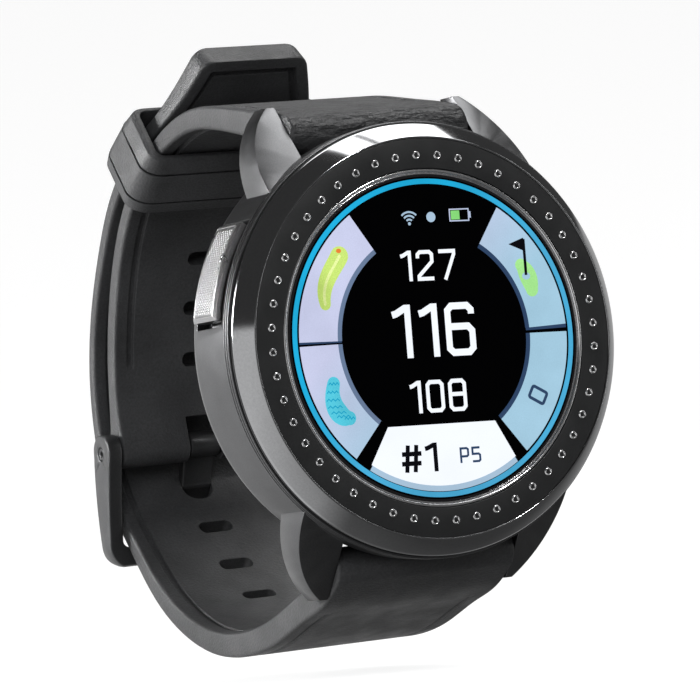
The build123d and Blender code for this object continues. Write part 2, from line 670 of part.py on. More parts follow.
def stroke_face(points, width):
    """Constant-width band along a broken line in the YZ plane."""
    pieces = None
    for start, end in zip(points, points[1:]):
        along = (Vector(*end) - Vector(*start)).normalized()
        across = Vector(0, -along.Z, along.Y) * (width / 2)
        reach = along * (width * 0.3)
        corners = [Vector(*start) + across - reach, Vector(*end) + across + reach,
                   Vector(*end) - across + reach, Vector(*start) - across - reach]
        piece = make_face(Polyline(*corners, close=True))
        pieces = piece if pieces is None else pieces + piece
    return pieces


def keeper():
    """Chunky loop with bevelled corners and two grooves round the outside."""
    half_x = KEEPER_IN_X + KEEPER_WALL
    half_h = KEEPER_IN_H / 2 + KEEPER_WALL
    body = Box(2 * half_x, KEEPER_LEN, 2 * half_h)
    body = chamfer(body.edges().filter_by(Axis.Y), KEEPER_EDGE)
    hole = fillet(Box(2 * KEEPER_IN_X, KEEPER_LEN + 2, KEEPER_IN_H).edges().filter_by(Axis.Y), 0.8)
    body -= hole
    for offset in (-KEEPER_LEN / 6, KEEPER_LEN / 6):
        groove = Box(2 * half_x + 2, KEEPER_GROOVE, 2 * half_h + 2)
        core = Box(2 * (half_x - KEEPER_GROOVE), 1, 2 * (half_h - KEEPER_GROOVE))
        groove -= chamfer(core.edges().filter_by(Axis.Y), KEEPER_EDGE - 0.1)
        body -= Pos(0, offset, 0) * groove
    return Pos(0, KEEPER_Y, KEEPER_Z) * Rot(-KEEPER_SLOPE, 0, 0) * body


def band_parts():
    return {
        "upper_strap": short_strap(),
        "lower_strap": long_strap(),
        "buckle_bar": rod(PIVOT_R, -ARM_OUT_X + 0.1, ARM_OUT_X - 0.1, PIVOT_Y, PIVOT_Z),
        "buckle_frame": buckle_frame(),
        "buckle_tongue": buckle_tongue(),
        "keeper": keeper(),
    }


def all_parts():
    parts = {
        "mid_case": mid_case(),
        "bezel_ring": bezel_ring(),
        "bezel_insert": bezel_insert(),
        "bezel_studs": bezel_studs(),
        "inner_trim_ring": trim_ring(),
    }
    parts.update(display_parts())
    parts.update(board_parts())
    parts.update(motor_parts())
    parts.update(rear_parts())
    parts.update(button_parts())
    parts.update(bar_parts("upper", 1))
    parts.update(bar_parts("lower", -1))
    parts.update(band_parts())
    return parts


os.makedirs("parts", exist_ok=True)
for node, shape in all_parts().items():
    export_step(shape, "parts/" + node + ".step")
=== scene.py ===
import json
from math import cos, hypot, pi, radians, sin, sqrt

import bmesh
import bpy
import numpy as np
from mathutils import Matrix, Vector


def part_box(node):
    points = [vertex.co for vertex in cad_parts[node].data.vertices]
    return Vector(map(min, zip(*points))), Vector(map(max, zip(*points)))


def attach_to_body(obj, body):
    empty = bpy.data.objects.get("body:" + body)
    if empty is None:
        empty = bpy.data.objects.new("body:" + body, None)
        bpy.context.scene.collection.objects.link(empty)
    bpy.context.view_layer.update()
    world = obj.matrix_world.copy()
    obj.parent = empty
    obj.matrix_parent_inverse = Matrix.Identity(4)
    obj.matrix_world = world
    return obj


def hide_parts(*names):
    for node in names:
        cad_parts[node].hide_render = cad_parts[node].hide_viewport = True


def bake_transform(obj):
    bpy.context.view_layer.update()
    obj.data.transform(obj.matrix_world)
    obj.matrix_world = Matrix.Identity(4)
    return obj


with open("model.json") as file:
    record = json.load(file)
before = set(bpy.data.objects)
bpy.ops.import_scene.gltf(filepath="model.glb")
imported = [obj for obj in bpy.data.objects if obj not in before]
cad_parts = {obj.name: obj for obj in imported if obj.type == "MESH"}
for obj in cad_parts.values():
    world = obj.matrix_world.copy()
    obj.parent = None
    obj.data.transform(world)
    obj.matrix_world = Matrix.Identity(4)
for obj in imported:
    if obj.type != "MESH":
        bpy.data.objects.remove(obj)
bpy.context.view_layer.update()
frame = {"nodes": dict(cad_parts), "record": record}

# Looks of a golf GPS watch. Lengths below are millimetres unless a name says otherwise.
# +X is 3 o'clock, +Z is 12 o'clock, -Y is out of the dial, +Y is towards the wrist.
MM = 0.001


def corner(node, end):
    """Lowest (0) or highest (1) corner of a CAD node in millimetres."""
    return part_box(node)[end] / MM


def middle(node):
    return (corner(node, 0) + corner(node, 1)) / 2


# -------- sizes from the frame

FACE_Y = corner("bezel_insert", 0).y  # front of the dial ring
BEZEL_R = corner("bezel_ring", 1).x
CASE_R = BEZEL_R + 0.2  # radius of the flank
INSERT_R = corner("bezel_insert", 1).x
TRIM_OUT_R = corner("inner_trim_ring", 1).x
TRIM_FRONT = corner("inner_trim_ring", 0).y
TRIM_IN_R = 17.45  # inner edge of the bright ring round the glass
LENS_FRONT = corner("lens", 0).y
BAND_HALF = corner("upper_strap", 1).x
BAR_Y = middle("upper_bar_tube").y
BAR_Z = middle("upper_bar_tube").z
FIT = 0.05  # clearance of a bar in its bore
BAR_BORE_R = (corner("upper_bar_tube", 1).z - corner("upper_bar_tube", 0).z) / 2 + FIT
PIVOT = middle("buckle_bar")
PIVOT_R = (corner("buckle_bar", 1).z - corner("buckle_bar", 0).z) / 2
ARM_X = corner("buckle_frame", 1).x
TONGUE_HALF = corner("buckle_tongue", 1).x

# -------- materials


class Shader:
    """One material's node tree, with short calls to add and wire nodes."""

    def __init__(self, name):
        self.material = bpy.data.materials.new(name)
        self.material.use_nodes = True
        self.tree = self.material.node_tree
        self.surface = self.tree.nodes["Principled BSDF"]
        self.coords = self.add("ShaderNodeTexCoord").outputs["Object"]

    def add(self, kind, inputs=None, **settings):
        node = self.tree.nodes.new(kind)
        for key, value in settings.items():
            setattr(node, key, value)
        for key, value in (inputs or {}).items():
            self.put(node, key, value)
        return node

    def put(self, node, key, value):
        if isinstance(value, bpy.types.NodeSocket):
            self.tree.links.new(value, node.inputs[key])
        else:
            node.inputs[key].default_value = value

    def noise(self, size, detail=3.0, stretch=(1, 1, 1)):
        """Noise whose blobs are about size millimetres across, stretched along each axis."""
        scale = [1.0 / factor for factor in stretch]
        place = self.add("ShaderNodeMapping", {"Vector": self.coords, "Scale": scale})
        inputs = {"Vector": place.outputs[0], "Scale": 1 / (size * MM), "Detail": detail}
        return self.add("ShaderNodeTexNoise", inputs).outputs["Fac"]

    def spread(self, value, low, high, start=0.0, end=1.0):
        """Maps a value from start..end to low..high."""
        inputs = {"Value": value, "From Min": start, "From Max": end, "To Min": low, "To Max": high}
        return self.add("ShaderNodeMapRange", inputs).outputs[0]

    def maths(self, operation, a, b=0.0):
        return self.add("ShaderNodeMath", {0: a, 1: b}, operation=operation).outputs[0]

    def mix(self, share, a, b):
        node = self.add("ShaderNodeMix", data_type="RGBA")
        self.put(node, 0, share)
        self.put(node, 6, a)
        self.put(node, 7, b)
        return node.outputs[2]


def grey(level):
    return (level, level, level, 1.0)


def creased(s):
    """Height of the wrinkles pressed across the upper strap where it rolls over its spring bar."""
    axes = s.add("ShaderNodeSeparateXYZ", {0: s.coords})
    near_lug = s.spread(axes.outputs["Y"], 1.0, 0.0, 0.5 * MM, 5 * MM)
    upper = s.spread(axes.outputs["Z"], 0.0, 1.0, 22 * MM, 24 * MM)
    folds = s.spread(s.noise(1.1, 4.0, (3.2, 1, 1)), 0.0, 6.0, 0.35, 0.65)
    leather = s.spread(s.noise(0.7, 3.0), 0.0, 2.0, 0.35, 0.65)
    tops = s.spread(axes.outputs["Y"], 1.0, 0.0, 14 * MM, 26 * MM)
    off_middle = s.maths("ABSOLUTE", axes.outputs["X"])
    between_edges = s.spread(off_middle, 1.0, 0.0, (BAND_HALF - 0.5) * MM, (BAND_HALF - 0.1) * MM)
    both = s.maths("ADD", s.maths("MULTIPLY", folds, near_lug), s.maths("MULTIPLY", leather, tops))
    return s.maths("MULTIPLY", s.maths("MULTIPLY", both, upper), between_edges)


def surface(name, colour, rough, metal=0.0, grain=0.3, depth=0.01, stretch=(1, 1, 1),
            tint=0.12, wear=0.15, edge=0.12, coat=0.0, creases=False, dirt_and_shade=0.0):
    """A worn, slightly uneven surface: rounded edges, grain, patchy tint and gloss, rubbed edges.

    Grain is the width of the bump's cells and depth their height; edge is the radius of the shaded
    edges. Wear lightens rubbed edges, and hollows are darkened with grime and painted shade.
    """
    s = Shader(name)
    patches = s.spread(s.noise(9.0), 1 - tint, 1 + tint, 0.3, 0.7)
    speckle = s.spread(s.noise(grain, 2.0, stretch), 1 - tint, 1 + tint, 0.3, 0.7)
    shade = s.maths("MULTIPLY", patches, speckle)
    base = s.add("ShaderNodeVectorMath", {0: colour[:3], "Scale": shade}, operation="SCALE").outputs[0]
    rounded = s.add("ShaderNodeBevel", {"Radius": edge * MM}, samples=6).outputs[0]
    flat = s.add("ShaderNodeNewGeometry").outputs["Normal"]
    same = s.add("ShaderNodeVectorMath", {0: rounded, 1: flat}, operation="DOT_PRODUCT").outputs["Value"]
    rubbed = s.maths("MULTIPLY", s.spread(same, 1.0, 0.0, 0.80, 0.97), s.noise(0.9))
    worn = [min(1.0, channel * 1.7 + 0.02) for channel in colour[:3]] + [1.0]
    # Grime and painted shade: concave hollows such as knurl pits are darkened towards near black.
    if dirt_and_shade:
        hollow = s.add("ShaderNodeNewGeometry").outputs["Pointiness"]
        base = s.mix(s.maths("MULTIPLY", s.spread(hollow, 1.0, 0.0, 0.40, 0.48), dirt_and_shade), base, grey(0.01))
    s.put(s.surface, "Base Color", s.mix(s.maths("MULTIPLY", rubbed, wear), base, worn))
    s.put(s.surface, "Metallic", metal)
    gloss = s.spread(s.noise(3.0), rough * 0.88, rough * 1.14, 0.3, 0.7)
    s.put(s.surface, "Roughness", gloss)
    s.put(s.surface, "Coat Weight", coat)
    s.put(s.surface, "Coat Roughness", 0.08)
    height = s.noise(grain, 3.0, stretch)
    if creases:
        height = s.maths("ADD", height, creased(s))
    inputs = {"Height": height, "Distance": depth * MM, "Strength": 1.0, "Normal": rounded}
    s.put(s.surface, "Normal", s.add("ShaderNodeBump", inputs).outputs[0])
    return s.material


def clear_glass(name, tint, mirror_ior=1.45):
    """Glass that lets light straight through and mirrors a little, with faint smears."""
    s = Shader(name)
    see = s.add("ShaderNodeBsdfTransparent", {"Color": tint})
    smears = s.spread(s.noise(6.0), 0.01, 0.05, 0.3, 0.7)
    shine = s.add("ShaderNodeBsdfGlossy", {"Roughness": smears, "Color": grey(1.0)})
    share = s.add("ShaderNodeFresnel", {"IOR": mirror_ior})
    blend = s.add("ShaderNodeMixShader", {0: share.outputs[0], 1: see.outputs[0], 2: shine.outputs[0]})
    output = s.tree.nodes["Material Output"]
    s.tree.links.new(blend.outputs[0], output.inputs["Surface"])
    return s.material


def lit(name, colour, strength=1.0, drift=0.06, lower=None):
    """A lit area of the display: fine pixel mesh, slight drift, and a second colour low on the right."""
    s = Shader(name)
    cloud = s.spread(s.noise(7.0), 1 - drift, 1 + drift, 0.3, 0.7)
    mesh = s.spread(s.noise(0.12, 1.0), 1 - drift / 2, 1 + drift / 2, 0.3, 0.7)
    level = s.maths("MULTIPLY", cloud, mesh)
    if lower:
        axes = s.add("ShaderNodeSeparateXYZ", {0: s.coords})
        diagonal = s.maths("SUBTRACT", axes.outputs["X"], axes.outputs["Z"])
        share = s.spread(diagonal, 0.0, 1.0, -12 * MM, 6 * MM)
        colour = s.mix(share, tuple(colour) + (1.0,), tuple(lower) + (1.0,))
    shade = s.add("ShaderNodeVectorMath", {0: colour, "Scale": level}, operation="SCALE").outputs[0]
    s.put(s.surface, "Base Color", (0.0, 0.0, 0.0, 1.0))
    s.put(s.surface, "Roughness", 0.5)
    s.put(s.surface, "Specular IOR Level", 0.0)
    s.put(s.surface, "Emission Color", shade)
    s.put(s.surface, "Emission Strength", strength)
    return s.material


GUNMETAL = (0.115, 0.116, 0.119)
RUBBER = (0.030, 0.0305, 0.032)

# Looks of the record's material slots, and trim_steel for the bright ring round the glass.
# What isn't said takes the values in surface().
LOOKS = {
    "case_metal": dict(colour=GUNMETAL, rough=0.34, metal=1.0, grain=0.12, depth=0.004, edge=0.10),
    "polished_gunmetal": dict(colour=(0.34, 0.343, 0.35), rough=0.09, metal=1.0, grain=0.25, depth=0.0006,
                              tint=0.05, edge=0.05),
    "dial_black": dict(colour=(0.012, 0.0125, 0.013), rough=0.42, grain=0.15, depth=0.002, edge=0.05),
    "stud_steel": dict(colour=(0.92, 0.92, 0.93), rough=0.2, metal=1.0, depth=0.0005, edge=0.01),
    "gasket_rubber": dict(colour=(0.02, 0.02, 0.02), rough=0.7),
    "display_black": dict(colour=(0.004, 0.004, 0.005), rough=0.25, depth=0.0005),
    "flex_film": dict(colour=(0.35, 0.18, 0.04), rough=0.35, depth=0.001),
    "circuit_board": dict(colour=(0.01, 0.09, 0.035), rough=0.4, grain=0.8, coat=0.3),
    "shield_steel": dict(colour=(0.55, 0.55, 0.55), rough=0.3, metal=1.0, stretch=(8, 1, 1)),
    "chip_black": dict(colour=(0.015, 0.015, 0.015), rough=0.55),
    "antenna_ceramic": dict(colour=(0.6, 0.5, 0.33), rough=0.6),
    "battery_foil": dict(colour=(0.5, 0.5, 0.52), rough=0.35, metal=1.0, grain=1.5, depth=0.02),
    "foam_pad": dict(colour=(0.03, 0.03, 0.03), rough=0.9, grain=0.2, depth=0.05),
    "tray_plastic": dict(colour=(0.02, 0.02, 0.021), rough=0.55),
    "motor_steel": dict(colour=(0.55, 0.55, 0.55), rough=0.25, metal=1.0, stretch=(1, 8, 1)),
    "motor_tungsten": dict(colour=(0.25, 0.25, 0.26), rough=0.45, metal=1.0),
    "back_plastic": dict(colour=(0.014, 0.014, 0.015), rough=0.38, grain=0.2, depth=0.006, edge=0.2),
    "contact_plastic": dict(colour=(0.012, 0.012, 0.012), rough=0.25),
    "contact_gold": dict(colour=(0.83, 0.55, 0.2), rough=0.2, metal=1.0, edge=0.05),
    "screw_steel": dict(colour=(0.4, 0.4, 0.4), rough=0.3, metal=1.0, edge=0.04),
    # The button's knurl pits get grime and painted shade.
    "button_steel": dict(colour=(0.40, 0.40, 0.405), rough=0.3, metal=1.0, grain=0.12, depth=0.002,
                         edge=0.06, dirt_and_shade=0.95),
    "trim_steel": dict(colour=(0.80, 0.80, 0.81), rough=0.17, metal=1.0, grain=0.1, depth=0.001,
                       edge=0.02),
    "pin_steel": dict(colour=(0.5, 0.5, 0.5), rough=0.25, metal=1.0, edge=0.03),
    "plunger_plastic": dict(colour=(0.6, 0.6, 0.57), rough=0.45),
    "bar_steel": dict(colour=(0.5, 0.5, 0.5), rough=0.25, metal=1.0, stretch=(6, 1, 1), edge=0.03),
    "band_silicone": dict(colour=RUBBER, rough=0.55, grain=0.26, depth=0.07, edge=0.18, tint=0.22,
                          wear=0.3),
    "buckle_metal": dict(colour=(0.075, 0.076, 0.078), rough=0.38, metal=0.8, grain=0.12, depth=0.004,
                         edge=0.35),
}
SHADERS = {slot: surface(slot, **look) for slot, look in LOOKS.items()}
SHADERS["lens_glass"] = clear_glass("lens_glass", (0.97, 0.98, 1.0, 1.0))
SHADERS["touch_glass"] = clear_glass("touch_glass", (0.92, 0.94, 0.95, 1.0), 1.2)
SLOT_OF = {row["node"]: row["material_slot"] for row in frame["record"]["subparts"]}

# -------- mesh helpers


def build(name, points, faces, shader, sharp=35.0):
    """A smooth-shaded mesh object from points in millimetres; edges over sharp degrees stay crisp."""
    mesh = bpy.data.meshes.new(name)
    mesh.from_pydata([Vector(point) * MM for point in points], [], faces)
    work = bmesh.new()
    work.from_mesh(mesh)
    bmesh.ops.remove_doubles(work, verts=work.verts, dist=1e-7)
    bmesh.ops.recalc_face_normals(work, faces=work.faces)
    work.to_mesh(mesh)
    work.free()
    mesh.shade_smooth()
    mesh.set_sharp_from_angle(angle=radians(sharp))
    mesh.materials.append(shader)
    obj = bpy.data.objects.new(name, mesh)
    bpy.context.scene.collection.objects.link(obj)
    return obj


def attach(obj, body, *nodes):
    """Rides on a CAD body and hides the nodes that it stands for."""
    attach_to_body(obj, body)
    if nodes:
        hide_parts(*nodes)


def soften(profile, size):
    """Rounds the corners of a closed polyline with short curves."""
    rounded = []
    for i, here in enumerate(profile):
        here = Vector(here)
        before = Vector(profile[i - 1]) - here
        after = Vector(profile[(i + 1) % len(profile)]) - here
        reach = min(size, before.length * 0.45, after.length * 0.45)
        start = here + before.normalized() * reach
        end = here + after.normalized() * reach
        for step in range(4):
            t = step / 3
            rounded.append(tuple(start * (1 - t) ** 2 + here * (2 * t * (1 - t)) + end * t * t))
    return rounded


def loops_to_faces(rows, columns, close_rows=True, close_columns=True):
    """Quads between rows x columns of points."""
    faces = []
    for i in range(rows if close_rows else rows - 1):
        for j in range(columns if close_columns else columns - 1):
            a, b = i, (i + 1) % rows
            c, d = j, (j + 1) % columns
            faces.append((a * columns + c, a * columns + d, b * columns + d, b * columns + c))
    return faces


def lathe(profile, turns=240):
    """Points and faces of a closed (radius, y) outline turned round the Y axis."""
    points = []
    for i in range(turns):
        angle = 2 * pi * i / turns
        points += [(r * cos(angle), y, r * sin(angle)) for r, y in profile]
    return points, loops_to_faces(turns, len(profile))


def join_meshes(parts):
    """One (points, faces) pair from several."""
    points, faces = [], []
    for some_points, some_faces in parts:
        offset = len(points)
        points += some_points
        faces += [tuple(index + offset for index in face) for face in some_faces]
    return points, faces


def tube_faces(count):
    """Faces between two loops of count points, and one across each."""
    sides = [(i, (i + 1) % count, count + (i + 1) % count, count + i) for i in range(count)]
    return sides + [tuple(range(count)), tuple(range(2 * count - 1, count - 1, -1))]


def prism(outline, front, back):
    """Flat outline of (x, z) points made into a closed plate between two depths."""
    points = [(x, y, z) for y in (front, back) for x, z in outline]
    return points, tube_faces(len(outline))


def cut(obj, points, faces):
    """Cuts a solid out of a mesh object."""
    tool = build("cutter", points, faces, SHADERS["band_silicone"])
    step = obj.modifiers.new("cut", "BOOLEAN")
    step.object = tool
    step.solver = "EXACT"
    shape = obj.evaluated_get(bpy.context.evaluated_depsgraph_get())
    mesh = bpy.data.meshes.new_from_object(shape)
    obj.modifiers.clear()
    obj.data = mesh
    mesh.shade_smooth()
    mesh.set_sharp_from_angle(angle=radians(35))
    bpy.data.objects.remove(tool)


# -------- case

def dial_ring():
    """Chamfered, polished ring with a fine raised lip inside and a rounded foot."""
    chamfer_back = FACE_Y + 1.92
    foot_y, foot_r = -10.6, BEZEL_R - 0.40
    inner_r, lip_r = INSERT_R + 0.02, INSERT_R + 0.20
    lip_y = FACE_Y - 0.07
    profile = soften([
        (inner_r, FACE_Y + 0.4), (inner_r, lip_y), (lip_r, lip_y), (BEZEL_R - 0.10, chamfer_back - 0.22),
        (BEZEL_R, chamfer_back), (BEZEL_R, chamfer_back + 0.10), (foot_r, chamfer_back + 0.13),
        (foot_r, foot_y), (inner_r, foot_y),
    ], 0.09)
    ring = build("polished_bezel", *lathe(profile), SHADERS["polished_gunmetal"])
    attach(ring, "case", "bezel_ring")


def flank_beads():
    """Fine parallel ridges round the front of the case's flank."""
    parts = []
    inner, crest = CASE_R - 0.2, CASE_R + 0.09
    foot_half, crest_half = 0.15, 0.08
    for y in (-10.52, -10.05, -9.58):
        profile = [(inner, y - foot_half), (CASE_R, y - foot_half), (crest, y - crest_half),
                   (crest, y + crest_half), (CASE_R, y + foot_half), (inner, y + foot_half)]
        parts.append(lathe(soften(profile, 0.05)))
    attach(build("flank_beads", *join_meshes(parts), SHADERS["case_metal"]), "case")


def dial_insert():
    """Flat matt ring that holds the studs."""
    back = corner("bezel_insert", 1).y
    inner_r = TRIM_OUT_R + 0.06
    profile = soften([(inner_r, back), (inner_r, FACE_Y), (INSERT_R, FACE_Y), (INSERT_R, back)], 0.05)
    attach(build("studded_dial", *lathe(profile), SHADERS["dial_black"]), "case", "bezel_insert")


def bead(radius, half, front, height, steps=8):
    """Half-round (radius, y) outline of a ring that stands proud towards the dial."""
    turns = [pi * step / steps for step in range(steps + 1)]
    return [(radius + half * cos(turn), front - height * sin(turn)) for turn in turns]


STUD_COUNT = 48
CAD_STUD_R = 0.4


def studs():
    """Small polished cups standing a hair proud of the insert."""
    rim, bowl, dish = 0.45, 0.24, 0.12
    pitch_r = corner("bezel_studs", 1).x - CAD_STUD_R
    seat, foot = FACE_Y - 0.03, FACE_Y + 0.2
    cup = [(bowl * sin(radians(turn)), seat + dish * cos(radians(turn))) for turn in range(0, 91, 15)]
    lip = bead((bowl + rim) / 2, (rim - bowl) / 2, seat, 0.13)
    cup += lip[::-1] + [(rim, foot), (0.0, foot)]
    points, faces = lathe(cup, 28)
    parts = []
    for index in range(STUD_COUNT):
        angle = 2 * pi * index / STUD_COUNT
        x, z = pitch_r * cos(angle), pitch_r * sin(angle)
        parts.append(([(px + x, py, pz + z) for px, py, pz in points], faces))
    attach(build("dial_studs", *join_meshes(parts), SHADERS["stud_steel"]), "case", "bezel_studs")


def trim():
    """Bright ring round the glass: a broad half-round bead, a dark gap and a fine second bead."""
    seat = TRIM_FRONT + 0.55
    outer = bead(TRIM_OUT_R - 0.16, 0.19, TRIM_FRONT + 0.12, 0.16)
    inner = bead(TRIM_IN_R + 0.06, 0.09, TRIM_FRONT + 0.22, 0.08)
    profile = outer + inner + [(TRIM_IN_R - 0.03, seat), (TRIM_OUT_R + 0.03, seat)]
    attach(build("glass_trim", *lathe(profile), SHADERS["trim_steel"]), "case", "inner_trim_ring")


# -------- display picture

SCREEN_TURN = radians(-2.0)
SCREEN_Y = LENS_FRONT - 0.02
SCREEN_R = 16.98
# Lit colours of the display: colour, strength, drift, and the colour low on the right.
SCREEN_LOOKS = {
    "black": [(0.0008, 0.0008, 0.001)],
    "azure": [(0.016, 0.42, 0.72), 1.0, 0.12, (0.07, 0.40, 0.66)],
    "pale": [(0.58, 0.61, 0.82), 1.0, 0.08, (0.37, 0.59, 0.74)],
    "white": [(0.90, 0.94, 1.0), 1.05, 0.03],
    "navy": [(0.03, 0.06, 0.13)],
    "steel": [(0.14, 0.20, 0.32)],
    "dot": [(0.40, 0.55, 0.70)],
    "green": [(0.25, 0.72, 0.20), 1.0, 0.12],
    "grass": [(0.38, 0.80, 0.28), 1.0, 0.2],
    "lime": [(0.50, 0.68, 0.16), 1.0, 0.25],
    "cream": [(0.66, 0.76, 0.30), 1.0, 0.3],
    "water": [(0.10, 0.62, 0.78), 1.0, 0.2],
    "ripple": [(0.01, 0.36, 0.58)],
    "ink": [(0.004, 0.004, 0.006)],
    "orange": [(0.8, 0.22, 0.04)],
}
LIT = {shade: lit("screen_" + shade, *look) for shade, look in SCREEN_LOOKS.items()}


def on_screen(name, outlines, shade, layer):
    """Thin lit shapes from (x, z) outlines, each layer a hair nearer the eye."""
    front = SCREEN_Y - 0.006 * layer
    parts = []
    for outline in outlines:
        turned = [(x * cos(SCREEN_TURN) - z * sin(SCREEN_TURN), x * sin(SCREEN_TURN) + z * cos(SCREEN_TURN))
                  for x, z in outline]
        parts.append(prism(turned, front, front + 0.004))
    attach(build("screen_" + name, *join_meshes(parts), LIT[shade]), "case")


def arc_points(radius, start, end, steps=40, x=0.0, z=0.0):
    turns = [radians(start + (end - start) * i / steps) for i in range(steps + 1)]
    return [(x + radius * cos(turn), z + radius * sin(turn)) for turn in turns]


def band_sector(outer, inner, start, end):
    return arc_points(outer, start, end) + arc_points(inner, end, start)


def stroke(points, width, closed=False):
    """Outline quads along a polyline, mitred at the corners."""
    count = len(points)
    left, right = [], []
    for i in range(count):
        here = Vector(points[i])
        before = Vector(points[i - 1]) if (closed or i > 0) else None
        after = Vector(points[(i + 1) % count]) if (closed or i < count - 1) else None
        into = (here - before).normalized() if before is not None else (after - here).normalized()
        out = (after - here).normalized() if after is not None else into
        tangent = (into + out).normalized()
        across = Vector((-tangent.y, tangent.x))
        reach = width / 2 / max(0.5, tangent.dot(into))
        left.append(tuple(here + across * reach))
        right.append(tuple(here - across * reach))
    pairs = range(count if closed else count - 1)
    return [[left[i], left[(i + 1) % count], right[(i + 1) % count], right[i]] for i in pairs]


OCTAGON = [(0.14, 0.06), (0.46, 0.06), (0.54, 0.15), (0.54, 0.85), (0.46, 0.94), (0.14, 0.94),
           (0.06, 0.85), (0.06, 0.15)]
# Squared figures in a box one unit high; a closed loop is marked True.
FIGURES = {
    "0": [(OCTAGON, True)],
    "1": [([(0.02, 0.82), (0.10, 0.84), (0.28, 0.94), (0.33, 0.94), (0.33, 0.0)], False)],
    "2": [([(0.06, 0.74), (0.06, 0.86), (0.14, 0.94), (0.46, 0.94), (0.54, 0.86), (0.54, 0.62),
            (0.07, 0.15), (0.07, 0.06), (0.58, 0.06)], False)],
    "5": [([(0.54, 0.94), (0.08, 0.94), (0.08, 0.54), (0.46, 0.54), (0.54, 0.46), (0.54, 0.14),
            (0.46, 0.06), (0.06, 0.06)], False)],
    "6": [([(0.54, 0.78), (0.54, 0.86), (0.46, 0.94), (0.14, 0.94), (0.06, 0.86), (0.06, 0.14),
            (0.14, 0.06), (0.46, 0.06), (0.54, 0.14), (0.54, 0.46), (0.46, 0.55), (0.06, 0.55)], False)],
    "7": [([(0.04, 0.94), (0.56, 0.94), (0.56, 0.84), (0.22, 0.0)], False)],
    "8": [(OCTAGON, True), ([(0.10, 0.53), (0.50, 0.53)], False)],
    "#": [([(0.16, 0.02), (0.24, 0.98)], False), ([(0.42, 0.02), (0.50, 0.98)], False),
          ([(0.02, 0.33), (0.62, 0.33)], False), ([(0.04, 0.67), (0.64, 0.67)], False)],
    "P": [([(0.08, 0.0), (0.08, 0.94), (0.46, 0.94), (0.54, 0.86), (0.54, 0.50), (0.46, 0.42),
            (0.08, 0.42)], False)],
}


def figures(text, left, low, right, high, weight, gap=0.14):
    """Outlines of a row of figures that fills a box; a 1 takes less room than the others."""
    height = high - low
    advances = [0.40 if sign == "1" else 0.60 for sign in text]
    total = sum(advances) + gap * (len(text) - 1)
    wide = (right - left) / total
    shift = left
    outlines = []
    for sign, advance in zip(text, advances):
        for line, closed in FIGURES[sign]:
            points = [(shift + x * wide, low + z * height) for x, z in line]
            outlines += stroke(points, weight * height, closed)
        shift += (advance + gap) * wide
    return outlines


def oval(x, z, half_x, half_z, steps=28):
    turns = [2 * pi * i / steps for i in range(steps)]
    return [(x + half_x * cos(turn), z + half_z * sin(turn)) for turn in turns]


def oblong(left, right, centre_z, half_z):
    low, high = centre_z - half_z, centre_z + half_z
    return [(left, low), (right, low), (right, high), (left, high)]


def screen_rings():
    """Black ground, azure rim, four pale segments with shaded inner edges, and the white hole panel."""
    rim_in, segment_out, segment_in, shade_in = 16.42, 16.2, 11.65, 11.15
    on_screen("ground", [arc_points(SCREEN_R + 0.2, 0, 359, 180)], "black", 0)
    eighths = [band_sector(SCREEN_R, rim_in, 45 * i, 45 * i + 45) for i in range(8)]
    on_screen("outer_ring", eighths, "azure", 1)
    left, right = [(124.3, 179.3), (180.9, 229.5)], [(2.7, 57.2), (-51.3, -0.2)]
    on_screen("segments", [band_sector(segment_out, segment_in, a, b) for a, b in left + right], "pale", 1)
    on_screen("segment_bevels", [band_sector(segment_in, shade_in, a, b) for a, b in left], "steel", 1)
    on_screen("segment_shades", [band_sector(segment_in, shade_in, a, b) for a, b in right], "navy", 1)
    ledges = [band_sector(segment_out, 11.2, a, b) for a, b in ((1.3, 2.7), (179.3, 180.1))]
    on_screen("segment_ledge", ledges, "navy", 1)
    outer_r, inner_r = 16.35, 15.75
    panel = [(-6.5, -9.2), (6.5, -9.2)] + arc_points(inner_r, -56.5, -124.0, 30)
    on_screen("hole_panel", [panel], "white", 1)
    on_screen("hole_panel_edge", [band_sector(outer_r, inner_r, -123.5, -57.0)], "dot", 1)


def screen_figures():
    """Three distances, the hole's number and its par."""
    white = figures("127", -3.5, 6.1, 3.2, 9.35, 0.125)
    white += figures("116", -5.1, -2.05, 4.95, 3.6, 0.13)
    white += figures("108", -3.6, -7.95, 3.3, -4.5, 0.125)
    on_screen("distances", white, "white", 2)
    on_screen("hole_number", figures("#1", -5.25, -14.2, -0.8, -11.2, 0.165), "ink", 2)
    on_screen("hole_par", figures("P5", 1.85, -13.5, 4.45, -11.85, 0.15), "navy", 2)


def screen_icons():
    """Signal fan, a round status mark and a battery."""
    top = 12.97
    waves = []
    for radius in (0.45, 0.85, 1.25):
        waves += stroke(arc_points(radius, 45, 135, 8, -2.0, top - 0.75), 0.2)
    waves.append(arc_points(0.18, 0, 340, 12, -2.0, top - 0.75))
    on_screen("signal_icon", waves, "dot", 2)
    on_screen("status_dot", [arc_points(0.55, 0, 350, 30, 0.65, top - 0.12)], "dot", 2)
    case = stroke(oblong(2.95, 5.25, top, 0.62), 0.13, True)
    on_screen("battery_icon", case + [oblong(5.33, 5.52, top, 0.35)], "pale", 2)
    on_screen("battery_level", [oblong(3.1, 4.15, top, 0.48)], "green", 2)


def arc_corners(half_x, half_z, radius, steps=4):
    """Rounded rectangle outline round the origin."""
    outline = []
    for quarter, (side_x, side_z) in enumerate(((1, 1), (-1, 1), (-1, -1), (1, -1))):
        centre_x, centre_z = side_x * (half_x - radius), side_z * (half_z - radius)
        outline += arc_points(radius, 90 * quarter, 90 * quarter + 90, steps, centre_x, centre_z)
    return outline


def along_rows(rows, steps=16):
    """Smooth run of (x, z, half width) stations through a few of them."""
    rows = np.array(rows, float)
    knots = np.arange(len(rows))
    bends = np.polyfit(knots, rows, min(3, len(rows) - 1))
    return [tuple(np.polyval(bends, at)) for at in np.linspace(0, len(rows) - 1, steps)]


